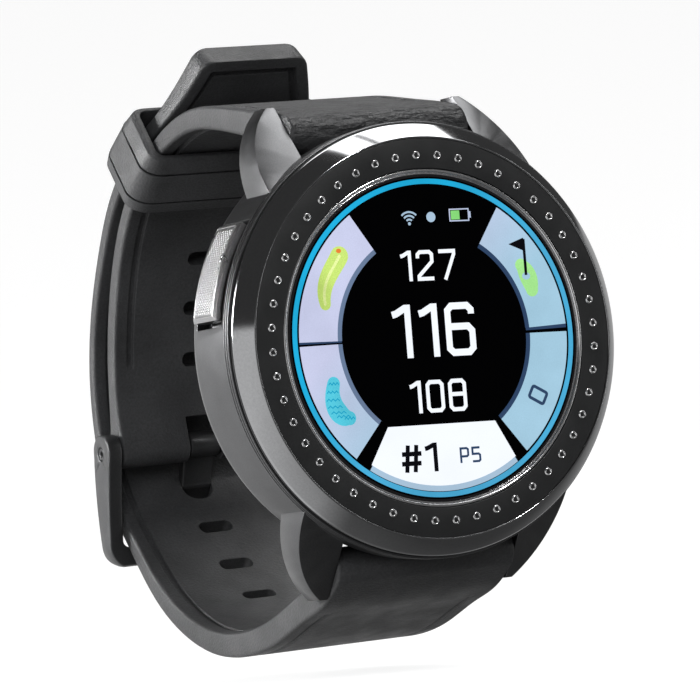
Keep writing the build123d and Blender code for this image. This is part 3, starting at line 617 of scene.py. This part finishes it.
def bean(rows):
    """Outline of a soft shape with rounded ends that follows (x, z, half width) rows."""
    stations = along_rows(rows)
    left, right, caps = [], [], []
    for i, (x, z, half) in enumerate(stations):
        before, after = stations[max(0, i - 1)], stations[min(len(stations) - 1, i + 1)]
        run = Vector((after[0] - before[0], after[1] - before[1])).normalized()
        left.append((x - half * run.y, z + half * run.x))
        right.append((x + half * run.y, z - half * run.x))
        if before is stations[i] or after is stations[i]:
            outward = half if after is stations[i] else -half
            heading = np.degrees(np.arctan2(run.y, run.x))
            turns = [radians(heading - 90 + 22.5 * step) for step in range(1, 8)]
            caps.append([(x + outward * cos(turn), z + outward * sin(turn)) for turn in turns])
    return right + caps[1] + left[::-1] + caps[0]


# Pictures on the display, as (x, z, half width) along their length.
FAIRWAY = [(-10.7, 9.1, 1.05), (-11.7, 7.7, 1.0), (-12.6, 6.1, 0.9), (-12.8, 4.1, 0.65)]
POND = [(-12.55, -4.3, 0.75), (-12.75, -6.0, 0.95), (-12.2, -7.35, 1.1), (-10.95, -8.0, 0.75)]
GREEN = [(11.2, 7.3, 0.7), (11.95, 6.15, 1.05), (12.35, 4.6, 0.75)]


def screen_pictures():
    """Fairway, pond, green with its flag, and an empty plate, one in each segment."""
    on_screen("fairway", [bean(FAIRWAY)], "lime", 2)
    on_screen("fairway_path", [bean([(x, z, 0.16) for x, z, half in FAIRWAY])], "cream", 3)
    on_screen("fairway_pin", [oval(-10.75, 9.65, 0.3, 0.24)], "orange", 4)
    on_screen("pond", [bean(POND)], "water", 2)
    ripples = []
    for x, z, half in along_rows(POND, 7):
        line = [(x + half * 0.27 * step, z + 0.12 * (-1) ** step) for step in range(-3, 4)]
        ripples += stroke(line, 0.1)
    on_screen("pond_ripples", ripples, "ripple", 3)
    on_screen("green", [bean(GREEN)], "grass", 2)
    mast_x = 11.75
    on_screen("green_cup", [oval(mast_x, 6.1, 0.5, 0.4)], "pale", 3)
    mast = stroke([(mast_x, 6.2), (mast_x, 10.1)], 0.34)
    on_screen("flag", mast + [[(mast_x, 10.25), (mast_x, 8.8), (9.85, 9.6)]], "ink", 4)
    plate = []
    plate_x, plate_z, turn = 12.05, -6.75, radians(-29)
    for x, z in arc_corners(0.95, 0.66, 0.22):
        plate.append((plate_x + x * cos(turn) - z * sin(turn), plate_z + x * sin(turn) + z * cos(turn)))
    on_screen("zero", stroke(plate, 0.34, True), "navy", 3)


def display():
    """The lit picture and the black border between it and the bright ring."""
    screen_rings()
    screen_figures()
    screen_icons()
    screen_pictures()
    inner_r = SCREEN_R + 0.12
    front, back = SCREEN_Y + 0.02, SCREEN_Y + 0.05
    border = [(inner_r, back), (inner_r, front), (TRIM_IN_R, front), (TRIM_IN_R, back)]
    attach(build("glass_border", *lathe(border), SHADERS["display_black"]), "case")


# -------- side button

BUTTON_ANGLE = 157.0
BUTTON_HALF_ANGLE = 13.2


def button():
    """Curved cap with bevelled, polished edges and a knurled face."""
    low, high = corner("side_button", 0).y, corner("side_button", 1).y
    radii = [hypot(v.co.x, v.co.z) / MM for v in frame["nodes"]["side_button"].data.vertices]
    reach, foot = max(radii), min(radii)
    half_y, mid_y = (high - low) / 2, (high + low) / 2
    half_arc = radians(BUTTON_HALF_ANGLE) * reach
    pitch, pit_depth = 0.52, 0.13
    bevel, bevel_slope = 0.42, 0.75
    rim_end, rim_drop, field = bevel + 0.12, 0.05, 0.80  # the field is knurled
    rows, columns = 241, 121
    points = []
    for i in range(rows):
        a = half_arc * (2 * i / (rows - 1) - 1)
        for j in range(columns):
            b = half_y * (2 * j / (columns - 1) - 1)
            inset = min(half_arc - abs(a), half_y - abs(b))
            radius = reach - bevel_slope * max(0.0, bevel - inset)
            if inset > field:
                pit = max(0.0, cos(2 * pi * a / pitch) * cos(2 * pi * b / pitch))
                radius -= pit_depth * pit ** 2
            elif inset > rim_end:
                radius -= rim_drop
            angle = radians(BUTTON_ANGLE) + a / reach
            points.append((radius * cos(angle), mid_y + b, radius * sin(angle)))
    faces = loops_to_faces(rows, columns, False, False)
    base = len(points)
    last = columns - 1
    for i in range(rows):
        for column in (0, last):
            x, y, z = points[i * columns + column]
            shrink = foot / hypot(x, z)
            points.append((x * shrink, y, z * shrink))
    for i in range(rows - 1):
        near, far = i * columns, (i + 1) * columns
        low_near, low_far = base + 2 * i, base + 2 * i + 2
        faces.append((near, far, low_far, low_near))
        faces.append((near + last, low_near + 1, low_far + 1, far + last))
        faces.append((low_near, low_far, low_far + 1, low_near + 1))
    for i in (0, rows - 1):
        top = tuple(range(i * columns, (i + 1) * columns))
        faces.append(top + (base + 2 * i + 1, base + 2 * i))
    attach(build("knurled_button", points, faces, SHADERS["button_steel"], 40), "button", "side_button")


# -------- band

# Mid-lines of (y, z, thickness): from a lug to the buckle, and from a lug to the free end.
SHORT_LINE = [
    (BAR_Y, BAR_Z, 4.5), (-1.2, 24.3, 3.7), (4.0, 25.6, 3.0), (11.0, 27.0, 2.7), (18.0, 27.75, 2.5),
    (25.4, 26.5, 2.3), (32.4, 23.3, 2.1), (38.3, 18.4, 2.1), (43.2, 10.6, 2.2), (45.9, 2.6, 2.2),
    (46.75, -4.2, 2.6), (PIVOT.y, PIVOT.z, 3.8),
]
LONG_LINE = [
    (BAR_Y, -BAR_Z, 4.5), (-1.0, -25.4, 3.7), (4.0, -27.3, 3.1), (11.5, -29.7, 3.0), (19.0, -30.9, 2.9),
    (26.5, -30.6, 2.8), (33.5, -28.5, 2.7), (40.4, -24.2, 2.5), (46.0, -18.3, 2.1), (50.0, -13.0, 2.0),
    (51.9, -6.5, 1.8), (51.5, 2.5, 1.6), (49.2, 9.0, 1.6), (45.4, 15.4, 1.7), (41.2, 20.6, 1.8),
    (37.2, 23.8, 1.8), (33.2, 26.3, 1.8), (29.4, 28.7, 2.0), (26.0, 31.6, 2.6), (22.7, 35.4, 3.1),
]
GROOVE_IN = 1.55  # a groove's two sides, from the strap's edge
GROOVE_OUT = 2.35
GROOVE_SLOPE = 0.12
EDGE_GROOVE = 0.30  # depth of the grooves along the outer face
CHANNEL = 0.35  # depth of the grooves along the inner face
SLOT_H = 1.7
SHORT_SLOTS = ((41.3, 14.2, -58), (44.1, 8.4, -70), (45.9, 2.3, -81))  # y, z, slope
LONG_SLOTS = ((45.9, -18.4, 50), (41.6, -23.2, 43), (36.2, -27.1, 31))
TONGUE_SLOT = (50.15, -12.7, 62)
TONGUE_SLOT_H = 4.8
NOTCH_HALF = 2.25  # gap in the end barrel for the tongue
TAPER_LEN = 12.9
TIP_HALF = 6.5
TIP_ROUND = 1.3  # rounding of the free end's corners
TIP_RIM = 1.35  # free end: its rim, the groove inside that, and the recessed panel
TIP_GROOVE = 0.85
TIP_LEN = 11.0
TIP_DEPTH = 0.75


def through(rows, spacing=0.3, extra=()):
    """Smooth curve through (y, z, thickness) rows: arrays of distance, centre, direction, thickness."""
    rows = np.array(rows, float)
    knots = np.concatenate([[0.0], np.cumsum(np.hypot(*np.diff(rows[:, :2], axis=0).T))])
    size = len(knots)
    gaps = np.diff(knots)
    system = np.eye(size)
    target = np.zeros((size, rows.shape[1]))
    for i in range(1, size - 1):
        system[i, i - 1:i + 2] = gaps[i - 1], 2 * (gaps[i - 1] + gaps[i]), gaps[i]
        slopes = (rows[i + 1] - rows[i]) / gaps[i] - (rows[i] - rows[i - 1]) / gaps[i - 1]
        target[i] = 6 * slopes
    bends = np.linalg.solve(system, target)
    places = np.union1d(np.linspace(0, knots[-1], int(knots[-1] / spacing)), knots[-1] + np.array(extra))
    places = places[(places >= 0) & (places <= knots[-1])]
    cell = np.clip(np.searchsorted(knots, places, "right") - 1, 0, size - 2)
    width = gaps[cell][:, None]
    a = (knots[cell + 1] - places)[:, None] / width
    b = 1 - a
    value = a * rows[cell] + b * rows[cell + 1]
    value += ((a ** 3 - a) * bends[cell] + (b ** 3 - b) * bends[cell + 1]) * width ** 2 / 6
    slope = (rows[cell + 1] - rows[cell]) / width
    slope += ((1 - 3 * a ** 2) * bends[cell] + (3 * b ** 2 - 1) * bends[cell + 1]) * width / 6
    direction = slope[:, :2] / np.hypot(slope[:, 0], slope[:, 1])[:, None]
    return places, value[:, :2], direction, value[:, 2]


def fade_line(value, start, end):
    """0 before start, 1 after end, straight between."""
    return min(1.0, max(0.0, (value - start) / (end - start)))


def fade(value, start, end):
    """0 before start, 1 after end, smooth between."""
    t = fade_line(value, start, end)
    return t * t * (3 - 2 * t)


def section(half, thick, outer, inner):
    """Cross-section loop of (across, out) points; outer and inner give (groove, panel) depths."""
    soft = min(0.42, thick * 0.28, half * 0.3)
    loop = []
    for sign, depths in ((1, outer), (-1, inner)):
        groove, panel = depths
        face = thick / 2
        side = []
        for step in range(5):
            turn = pi / 2 * step / 4
            side.append((half - soft + soft * cos(turn), face - soft + soft * sin(turn)))
        inside = half - GROOVE_OUT - GROOVE_SLOPE
        side += [(half - GROOVE_IN, face), (half - GROOVE_IN - GROOVE_SLOPE, face - groove),
                 (half - GROOVE_OUT, face - groove), (inside, face - panel)]
        side += [(inside * share, face - panel) for share in (0.8, 0.6, 0.4, 0.2, 0.0)]
        run = side + [(-u, v) for u, v in side[-2::-1]]
        loop += [(u * sign, v * sign) for u, v in run]
    return loop


def ribbon(line, outward, half_at, outer_at, inner_at, round_end, extra=()):
    """Closed strap mesh along a line. It starts as a half cylinder, and can end as one."""
    places, centre, direction, thick = through(line, extra=extra)
    stations = list(zip(places, centre, direction, thick))
    total = places[-1]
    caps = [pi / 2 * step / 10 for step in range(1, 11)]
    radius = thick[0] / 2
    before = [(-radius * sin(t), centre[0] - direction[0] * radius * sin(t), direction[0],
               max(0.02, 2 * radius * cos(t))) for t in caps]
    stations = before[::-1] + stations
    if round_end:
        radius = thick[-1] / 2
        stations += [(total + radius * sin(t), centre[-1] + direction[-1] * radius * sin(t), direction[-1],
                      max(0.02, 2 * radius * cos(t))) for t in caps]
    points = []
    for s, (y, z), (dy, dz), t in stations:
        out_y, out_z = -dz * outward, dy * outward
        grooves = t > 1.5
        outer = outer_at(s, total) if grooves else (0.0, 0.0)
        inner = inner_at(s, total) if grooves else (0.0, 0.0)
        for u, v in section(half_at(s, total), t, outer, inner):
            points.append((u, y + out_y * v, z + out_z * v))
    columns = len(points) // len(stations)
    faces = loops_to_faces(len(stations), columns, False)
    faces.append(tuple(range(columns)))
    faces.append(tuple(range((len(stations) - 1) * columns, len(stations) * columns)))
    return points, faces


def slot_tool(y, z, slope, height, half=2.1):
    """Rounded bar that cuts a slot through the band where it runs at the given slope."""
    turn = radians(slope)
    outline = arc_corners(half, height / 2, 0.45 * min(height, 2 * half), 6)
    points = []
    for depth in (-6.0, 6.0):
        for across, along in outline:
            points.append((across, y + along * cos(turn) - depth * sin(turn),
                           z + along * sin(turn) + depth * cos(turn)))
    return points, tube_faces(len(outline))


def bore_tool(y, z, radius):
    """Cylinder along X for a bar's bore."""
    count = 32
    ring = [(radius * cos(2 * pi * i / count), radius * sin(2 * pi * i / count)) for i in range(count)]
    points = [(x, y + a, z + b) for x in (-20.0, 20.0) for a, b in ring]
    return points, tube_faces(count)


def box_tool(low, high):
    """Box between two corners."""
    points = [(x, y, z) for x in (low[0], high[0]) for y in (low[1], high[1]) for z in (low[2], high[2])]
    faces = [(0, 1, 3, 2), (4, 5, 7, 6), (0, 1, 5, 4), (2, 3, 7, 6), (0, 2, 6, 4), (1, 3, 7, 5)]
    return points, faces


def short_strap():
    """The band's upper half, from the upper spring bar to the buckle."""
    def outer(s, total):
        return EDGE_GROOVE * fade(s, 4, 6) * (1 - fade(s, total - 12, total - 8)), 0.0

    def inner(s, total):
        return CHANNEL * fade(s, 9, 11) * (1 - fade(s, total - 10.5, total - 9.5)), 0.0

    shader = surface("band_silicone_upper", creases=True, **LOOKS["band_silicone"])
    shape = ribbon(SHORT_LINE, 1, lambda s, total: BAND_HALF, outer, inner, True)
    obj = build("upper_band", *shape, shader)
    tools = [slot_tool(y, z, slope, SLOT_H) for y, z, slope in SHORT_SLOTS]
    low, high = (-NOTCH_HALF, PIVOT.y - 5, PIVOT.z - 5), (NOTCH_HALF, PIVOT.y + 5, PIVOT.z + 3.4)
    tools.append(box_tool(low, high))
    tools.append(bore_tool(BAR_Y, BAR_Z, BAR_BORE_R))
    cut(obj, *join_meshes(tools))
    cut(obj, *bore_tool(PIVOT.y, PIVOT.z, PIVOT_R + FIT))
    attach(obj, "band", "upper_strap")


def long_strap():
    """The band's lower half, from the lower spring bar round to the free end with its recess."""
    def half(s, total):
        narrow = fade_line(s, total - TAPER_LEN, total)
        width = BAND_HALF - (BAND_HALF - TIP_HALF) * narrow
        inside = max(0.0, s - (total - TIP_ROUND))
        return width - (TIP_ROUND - sqrt(max(0.0, TIP_ROUND ** 2 - inside ** 2))) * 0.8

    def outer(s, total):
        return EDGE_GROOVE * fade(s, 6, 8) * (1 - fade(s, total - 24, total - 22)), 0.0

    def inner(s, total):
        channel = CHANNEL * fade(s, 17, 21) * (1 - fade(s, total - 24, total - 22))
        rim = total - TIP_RIM
        if s <= total - TIP_LEN - 0.5 or s >= rim:
            return channel, 0.0
        if s > rim - TIP_GROOVE or s < total - TIP_LEN:
            return TIP_DEPTH, TIP_DEPTH
        return TIP_DEPTH, 0.4

    recess = -TIP_RIM - TIP_GROOVE
    steps = [recess - 0.12, recess, -TIP_RIM - 0.1, -TIP_RIM, -TIP_ROUND, -1.0, -0.7, -0.45, -0.2, -0.08]
    shape = ribbon(LONG_LINE, -1, half, outer, inner, False, steps)
    obj = build("lower_band", *shape, SHADERS["band_silicone"])
    tools = [slot_tool(y, z, slope, SLOT_H) for y, z, slope in LONG_SLOTS]
    tools.append(slot_tool(*TONGUE_SLOT, TONGUE_SLOT_H, TONGUE_HALF + 0.06))
    tools.append(bore_tool(BAR_Y, -BAR_Z, BAR_BORE_R))
    for points, faces in tools:
        cut(obj, points, faces)
    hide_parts("lower_strap")
    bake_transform(obj)


# -------- keeper, buckle

KEEPER_SLOPE = radians(37.0)
KEEPER_IN_X = 11.15  # half the opening's width and height
KEEPER_IN_H = 3.45
KEEPER_LEN = 8.4
KEEPER_CORNER_R = 0.9
KEEPER_CUT = 0.6  # depth of its two grooves
KEEPER_SQUASH = 0.75  # its faces are thinner than its sides


def keeper():
    """Loop with bulging bands and two grooves; along runs down the band, depth out of the opening."""
    end = KEEPER_LEN / 2
    grooves = ((-end + 2.3, 1.55), (-end + 6.6, 1.95))
    wall = [(-end, 0.1), (-end, 0.65), (-end + 0.35, 1.05), (grooves[0][0] - 0.17, 1.50)]
    for at, level in grooves:
        floor = level - KEEPER_CUT
        wall += [(at - 0.15, level), (at - 0.12, floor), (at + 0.12, floor), (at + 0.15, level)]
    wall += [(end - 0.2, 1.75), (end + 0.1, 1.35), (end + 0.1, 0.1), (end - 0.3, 0.0), (-end + 0.3, 0.0)]
    centre = middle("keeper")
    in_x, in_h = KEEPER_IN_X - KEEPER_CORNER_R, KEEPER_IN_H - KEEPER_CORNER_R
    around = []
    for quarter, (side_x, side_h) in enumerate(((1, 1), (-1, 1), (-1, -1), (1, -1))):
        for step in range(9):
            turn = radians(90 * quarter + 90 * step / 8)
            around.append((side_x * in_x, side_h * in_h, cos(turn), sin(turn)))
    points = []
    for corner_x, corner_h, out_x, out_h in around:
        for along, depth in wall:
            x = corner_x + (KEEPER_CORNER_R + depth) * out_x
            h = corner_h + (KEEPER_CORNER_R + depth * KEEPER_SQUASH) * out_h
            y = centre.y + along * cos(KEEPER_SLOPE) + h * sin(KEEPER_SLOPE)
            z = centre.z - along * sin(KEEPER_SLOPE) + h * cos(KEEPER_SLOPE)
            points.append((x, y, z))
    faces = loops_to_faces(len(around), len(wall))
    attach(build("keeper_loop", points, faces, SHADERS["band_silicone"], 30), "keeper", "keeper")


def buckle_pin():
    """Bar end with a small blind hole, as seen in the buckle arm."""
    reach = ARM_X - 0.1
    hole_r, hole_depth = 0.36, 0.8
    profile = soften([(0.0, hole_depth), (hole_r, hole_depth), (hole_r, 0.0), (PIVOT_R, 0.0),
                      (PIVOT_R, reach), (0.0, reach)], 0.04)
    points, faces = lathe(profile, 40)
    parts = []
    for side in (1, -1):
        end = [(side * (reach - depth), PIVOT.y + a, PIVOT.z + b) for a, depth, b in points]
        parts.append((end, faces))
    attach(build("bar_with_ends", *join_meshes(parts), SHADERS["buckle_metal"]), "band", "buckle_bar")


def round_edges(node, width):
    """Welds a CAD node's mesh and rounds its edges, without moving it."""
    obj = frame["nodes"][node]
    weld = obj.modifiers.new("weld", "WELD")
    weld.merge_threshold = 0.001 * MM
    bevel = obj.modifiers.new("bevel", "BEVEL")
    bevel.width = width * MM
    bevel.segments = 3
    bevel.limit_method = "ANGLE"
    bevel.angle_limit = radians(40)
    bevel.harden_normals = True


def dress_cad():
    """Gives every shown CAD node the look of its material slot."""
    for node, obj in frame["nodes"].items():
        obj.data.materials.clear()
        obj.data.materials.append(SHADERS[SLOT_OF[node]])
        obj.data.shade_smooth()
        obj.data.set_sharp_from_angle(angle=radians(30))


# -------- stage, light, camera

ROOM_TO_ROCK = 3.2  # floor below the band, which swings down by up to 2.6


def studio():
    """Pale sweep that runs from a floor up to a wall behind; only a camera above it sees it."""
    floor_z = corner("lower_strap", 0).z - ROOM_TO_ROCK
    bend_r, bend_y = 400.0, 1400.0
    front_y, top_z, half_x = -2000.0, 2500.0, 2500.0
    outline = [(front_y, floor_z), (bend_y, floor_z)]
    for turn in range(6, 91, 6):
        angle = radians(turn)
        outline.append((bend_y + bend_r * sin(angle), floor_z + bend_r * (1 - cos(angle))))
    outline.append((bend_y + bend_r, top_z))
    points = [(x, y, z) for y, z in outline for x in (-half_x, half_x)]
    faces = loops_to_faces(len(outline), 2, False, False)
    s = Shader("sweep_white")
    s.put(s.surface, "Base Color", grey(0.22))
    s.put(s.surface, "Roughness", 0.9)
    s.put(s.surface, "Specular IOR Level", 0.0)
    s.put(s.surface, "Emission Color", grey(1.0))
    s.put(s.surface, "Emission Strength", 0.88)
    from_above = s.add("ShaderNodeNewGeometry").outputs["Backfacing"]
    clear = s.add("ShaderNodeBsdfTransparent")
    blend = s.add("ShaderNodeMixShader", {0: from_above, 1: clear.outputs[0], 2: s.surface.outputs[0]})
    s.tree.links.new(blend.outputs[0], s.tree.nodes["Material Output"].inputs["Surface"])
    sweep = build("sweep", points, faces, s.material)
    sweep.visible_glossy = False
    sweep.visible_diffuse = False
    sweep.visible_shadow = False


def lamp(name, place, aim, width, height, power):
    """Rectangular area lamp, pointed at aim; power in watts."""
    data = bpy.data.lights.new(name, "AREA")
    data.shape = "RECTANGLE"
    data.size = width * MM
    data.size_y = height * MM
    data.energy = power
    obj = bpy.data.objects.new(name, data)
    bpy.context.scene.collection.objects.link(obj)
    obj.location = Vector(place) * MM
    obj.rotation_euler = (Vector(aim) - Vector(place)).to_track_quat("-Z", "Y").to_euler()
    return obj


class Sky(Shader):
    """The world's node tree, with the same short calls."""

    def __init__(self, name):
        self.world = bpy.data.worlds.new(name)
        self.world.use_nodes = True
        self.tree = self.world.node_tree
        self.surface = self.tree.nodes["Background"]
        self.coords = self.add("ShaderNodeTexCoord").outputs["Generated"]


def toward(s, ray, direction):
    """How far a ray looks along a direction, from -1 to 1."""
    inputs = {0: ray, 1: Vector(direction).normalized()}
    return s.add("ShaderNodeVectorMath", inputs, operation="DOT_PRODUCT").outputs["Value"]


def window(s, value, start, end, soft):
    """1 between start and end, 0 outside, with soft edges."""
    rise = s.spread(value, 0.0, 1.0, start - soft, start)
    fall = s.spread(value, 1.0, 0.0, end, end + soft)
    return s.maths("MULTIPLY", rise, fall)


# Brightness of the overhead box, the strip on the right, the ceiling and what the camera sees.
TOP_LEVEL = 4.6
SIDE_LEVEL = 2.5
CEILING_LEVEL = 0.07
BACKDROP_LEVEL = 0.98
# Directions that the parts of the studio are laid out along.
UP = (0, 0, 1)
LEFT = (-1, 0, 0)
BRIGHT_WALL = (-0.69, 0.69, 0.23)
BOX_LENGTH = (0.846, 0.39, -0.36)
BOX_WIDTH = (-0.42, 0.90, 0.0)
STRIP = (0.93, -0.36, 0.0)
STRIP_WIDTH = (0.36, 0.93, 0.0)


def sky():
    """Studio surroundings: bright walls at and below eye level, a dark ceiling, a box and a strip."""
    s = Sky("studio")
    ray = s.coords
    up = toward(s, ray, UP)
    walls = s.spread(toward(s, ray, BRIGHT_WALL), 0.08, 1.0, -0.48, 0.34)
    below = s.spread(up, 1.0, 0.0, 0.19, 0.23)
    low = s.spread(up, 0.25, 1.0, -0.75, -0.25)
    left = s.spread(toward(s, ray, LEFT), 0.0, 1.0, 0.1, 0.4)
    level = s.maths("MULTIPLY", s.maths("MULTIPLY", walls, below), s.maths("MAXIMUM", low, left))

    along = toward(s, ray, BOX_LENGTH)
    across = toward(s, ray, BOX_WIDTH)
    box = s.maths("MULTIPLY", window(s, along, -0.30, 0.33, 0.02), window(s, across, -0.35, 0.35, 0.05))
    bar = s.maths("SUBTRACT", 1.0, window(s, along, -0.13, -0.10, 0.01))
    box = s.maths("MULTIPLY", s.maths("MULTIPLY", box, bar), window(s, up, 0.3, 2.0, 0.1))
    level = s.maths("ADD", level, s.maths("MULTIPLY", box, TOP_LEVEL))

    narrow = window(s, toward(s, ray, STRIP_WIDTH), -0.10, 0.05, 0.02)
    strip = s.maths("MULTIPLY", narrow, window(s, up, -0.2, 0.55, 0.05))
    strip = s.maths("MULTIPLY", strip, window(s, toward(s, ray, STRIP), 0.2, 2.0, 0.05))
    level = s.maths("ADD", level, s.maths("MULTIPLY", strip, SIDE_LEVEL))

    level = s.maths("ADD", level, CEILING_LEVEL)
    seen = s.add("ShaderNodeLightPath").outputs["Is Camera Ray"]
    level = s.maths("MAXIMUM", level, s.maths("MULTIPLY", seen, BACKDROP_LEVEL))
    s.put(s.surface, "Color", grey(1.0))
    s.put(s.surface, "Strength", level)
    bpy.context.scene.world = s.world


def lights():
    """The surroundings, a soft key from the left, a fill from the front and a glint for the studs."""
    sky()
    key = lamp("key_left", (-570, 290, 230), (-10, 30, 66), 200, 260, 0.33)
    key.data.spread = radians(28)
    fill = lamp("front_fill", (-380, -540, 260), (0, 0, 0), 500, 400, 3.8)
    fill.visible_glossy = False
    glints = lamp("stud_glints", (120, -420, 330), (0, -13, 0), 60, 60, 1.0)
    glints.visible_diffuse = False


def camera():
    """Long lens, low on the left of the dial, rolled a little."""
    data = bpy.data.cameras.new("camera")
    data.lens = 226.69
    data.sensor_width = 36.0
    data.clip_end = 20.0
    obj = bpy.data.objects.new("camera", data)
    bpy.context.scene.collection.objects.link(obj)
    obj.location = Vector((-227.06, -422.25, -14.34)) * MM
    obj.rotation_euler = (radians(91.724), radians(6.262), radians(-27.707))
    bpy.context.scene.camera = obj
    bpy.context.scene.view_settings.view_transform = "Standard"


dress_cad()
dial_ring()
flank_beads()
dial_insert()
studs()
trim()
display()
button()
short_strap()
long_strap()
keeper()
buckle_pin()
round_edges("buckle_frame", 0.55)
round_edges("buckle_tongue", 0.25)
round_edges("mid_case", 0.18)
studio()
lights()
camera()
